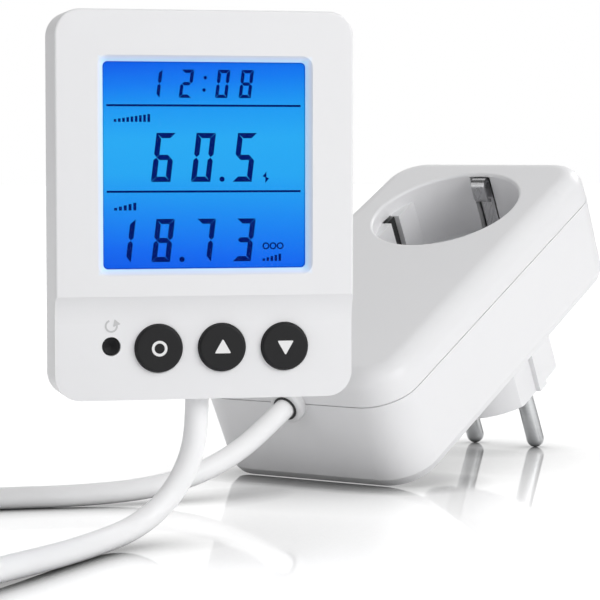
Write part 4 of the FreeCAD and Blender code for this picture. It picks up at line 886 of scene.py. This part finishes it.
# A thin black ring stands in for the shadow between the lead and its gland.
start_clean()
bpy.ops.mesh.primitive_cylinder_add(vertices=64, radius=SHADE_RING_RADIUS * MM, depth=SHADE_RING_THICK * MM)
shade_ring = bpy.context.object
open_middle(SHADE_RING_BAND, 2)
facing_gland = Matrix((-OUTWARD, ACROSS, ALONG)).transposed().to_4x4()
shade_ring.matrix_world = Matrix.Translation(on_housing(GLAND_MOUTH, 0, LEAD_HEIGHT)) @ facing_gland
close_piece([shade_ring], "gland_shade_ring", "meter", black_inside)

# %% [markdown]
# ## Sheath and metals
# The lead's sheath is a soft white plastic, duller than the cases. The pins are plated and turned,
# so fine streaks run round them. The other metals are pressed or rolled, and are rougher.

# %% Sheath of the lead
sheath, shader = finish("lead_sheath")
cloud, fine = grain(60.0, 3.0), grain(1400.0, 2.0, 0.6)
feed(shader, Base_Color=mixed(cloud, (0.93, 0.93, 0.94), (0.96, 0.96, 0.965)), Roughness=0.38 + 0.12 * fine,
     Normal=bump(fine, 0.05, 0.0001))
lead_line.materials.append(sheath)
print("sheath nodes", len(Value.tree.nodes))

# %% Metals
STREAK_SCALE, DRAWN_OUT = 1500.0, 0.05


def stretched(axis):
    """Object coordinates drawn out by twenty along the two other axes, for streaks."""
    scale = [1.0 if name == axis else DRAWN_OUT for name in "XYZ"]
    return Value(Value.node("ShaderNodeMapping", None, Vector=place(), Scale=scale).outputs[0])


def metal(name, light, dark, roughness, streak_axis):
    """A worked metal: fine streaks across one axis change its colour and its roughness a little."""
    material, shader = finish(name)
    noise = Value.node("ShaderNodeTexNoise", None, Vector=stretched(streak_axis), Scale=STREAK_SCALE,
                       Detail=2.0)
    streak = Value(noise.outputs["Fac"])
    feed(shader, Base_Color=mixed(streak, dark, light), Metallic=1.0,
         Roughness=roughness + 0.14 * (streak - 0.5), Normal=bump(streak, 0.05, 0.00005))
    return material


plated = metal("plated_pin", (0.66, 0.67, 0.68), (0.57, 0.58, 0.59), 0.14, "Z")
clip_metal = metal("clip_metal", (0.66, 0.66, 0.67), (0.52, 0.52, 0.53), 0.28, "X")
screw_metal = metal("screw_metal", (0.60, 0.60, 0.61), (0.48, 0.48, 0.49), 0.30, "X")
brass = metal("contact_brass", (0.78, 0.58, 0.26), (0.66, 0.47, 0.19), 0.26, "Z")
cell_can = metal("cell_can", (0.72, 0.72, 0.71), (0.62, 0.62, 0.61), 0.22, "X")
print("metals", [material.name for material in (plated, clip_metal, screw_metal, brass, cell_can)])

# %% [markdown]
# ## Screws
# The CAD screws are plain. These have what a screwdriver needs: a pan head with a softened rim and
# a cross recess, cut by two blades. Each kind is modelled once, head up at the origin, and copied
# to its four places.

# %% One screw
HEAD_SIDES, HEAD_ROUNDING = 40, 0.35
BLADE_REACH, BLADE_DEPTH = 1.25, 1.3


def screw(radius, thick, shank_radius, shank, slot):
    """A pan-head screw along z, head up: soft head, cross recess and shank, at the origin, in mm."""
    start_clean()
    bpy.ops.mesh.primitive_cylinder_add(vertices=HEAD_SIDES, radius=radius * MM, depth=thick * MM,
                                        location=(0, 0, thick / 2 * MM))
    head = bpy.context.object
    bpy.ops.object.transform_apply(location=True, rotation=False, scale=False)
    pick_faces(lambda centre, normal: normal.z > ALIGNED)
    bpy.ops.mesh.bevel(offset=thick * HEAD_ROUNDING * MM, segments=3)
    pick_faces(lambda centre, normal: normal.z < -ALIGNED)
    bpy.ops.mesh.inset(thickness=(radius - shank_radius) * MM)
    bpy.ops.mesh.extrude_region_move(TRANSFORM_OT_translate={"value": (0, 0, -shank * MM)})
    for turn in (0, math.pi / 2):
        blade = block((radius * BLADE_REACH, slot, thick * BLADE_DEPTH), (0, 0, thick * MM))
        blade.rotation_euler.z = turn
        bpy.ops.object.transform_apply(location=True, rotation=True, scale=True)
        cut_away(head, blade)
    return head


# %% Both sets of screws
BACK_DEPTH, BACK_SPOTS = 14.0, ((-26.4, 26.4), (4.4, 74.6))
UNDER_HEIGHT, UNDER_SPOTS = 4.0, ((-72.5, 20.5), (-21.5, 21.5))


def set_of_screws(pattern, spots, name, node):
    """Copies of a screw at its spots, as one piece that stands for the plain CAD screws."""
    made = [copy_piece(pattern, spot) for spot in spots]
    bpy.data.objects.remove(pattern)
    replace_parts(close_piece(made, name, "meter", screw_metal), node)


facing_back = Matrix.Rotation(-math.pi / 2, 4, "X")
back_spots = [Matrix.Translation(on_display(x, y, BACK_DEPTH)) @ facing_back
              for x in BACK_SPOTS[0] for y in BACK_SPOTS[1]]
back_screw = screw(radius=1.9, thick=0.95, shank_radius=1.0, shank=8.5, slot=0.42)
set_of_screws(back_screw, back_spots, "back_screws", "display_screws")

facing_down = Matrix((ALONG, -ACROSS, -OUTWARD)).transposed().to_4x4()
under_spots = [Matrix.Translation(on_housing(x, y, UNDER_HEIGHT)) @ facing_down
               for x in UNDER_SPOTS[0] for y in UNDER_SPOTS[1]]
under_screw = screw(radius=2.6, thick=1.8, shank_radius=1.3, shank=14.0, slot=0.55)
set_of_screws(under_screw, under_spots, "underside_screws", "housing_screws")

# %% [markdown]
# ## Circuit boards
# The boards are hidden at rest, but the keyhole in the display's back shows a little green. Copper
# tracks run under the lacquer in two directions. A wave with its crests cut off gives the bands.

# %% Laminate with tracks
def track_bands(axis, other, scale):
    """Narrow bands across one axis, shifted here and there, with gaps along the other axis."""
    shift = 3 * Value.maths("SNAP", grain(80.0), 0.25)
    run = Value.maths("SINE", place(axis) * scale + shift).absolute()
    gate = Value.maths("SINE", place(other) * 130.0 + 2.0).above(0.25)
    return (1 - run).above(0.80) * gate


def board(name, first, second):
    """Green laminate with copper tracks under the lacquer, in two directions."""
    material, shader = finish(name)
    tracks = Value.maths("MAXIMUM", track_bands(first, second, 900.0), track_bands(second, first, 700.0))
    feed(shader, Base_Color=mixed(tracks, (0.010, 0.105, 0.045), (0.030, 0.210, 0.080)),
         Roughness=0.45 - 0.15 * tracks, Normal=bump(tracks, 0.3, 0.00005))
    return material


display_laminate = board("display_laminate", "X", "Z")
meter_laminate = board("meter_laminate", "X", "Y")
print("boards", display_laminate.name, meter_laminate.name)

# %% A finish for every CAD part
FINISHES = {
    "display_front_cover": window_case_painted_glow, "display_back_cover": white_case, "light_guide": guide_clear,
    "backlight_leds": grey_ring, "contact_strip": pink_rubber, "lcd_frame": pale_inside,
    "display_board": display_laminate, "key_switches": black_inside, "controller_chip": black_inside,
    "backup_cell": cell_can, "set_button": dark_keys, "up_button": dark_keys, "down_button": dark_keys,
    "reset_button": dark_keys, "display_cord_grommet": black_inside,
    "socket_top_shell": recess_painted_shade, "plug_bottom_shell": white_housing,
    "live_pin": plated, "neutral_pin": plated, "pin_carrier": pale_inside,
    "contact_carrier": pale_inside, "live_contact": brass, "neutral_contact": brass,
    "shutter_disc": pale_inside, "shutter_spring": clip_metal, "earth_clips": clip_metal,
    "plug_earth_contacts": clip_metal, "metering_board": meter_laminate, "mains_capacitor": yellow_box,
    "smoothing_capacitor": black_inside, "surge_absorber": yellow_box, "shunt_resistor": brass,
    "metering_chip": black_inside, "cord_gland": grey_ring, "cord_clamp": pale_inside,
    "cord_clamp_screws": screw_metal, "coil_tie": tie_black,
}
for node, material in FINISHES.items():
    dress(node, material)
print("finished parts", len(FINISHES))
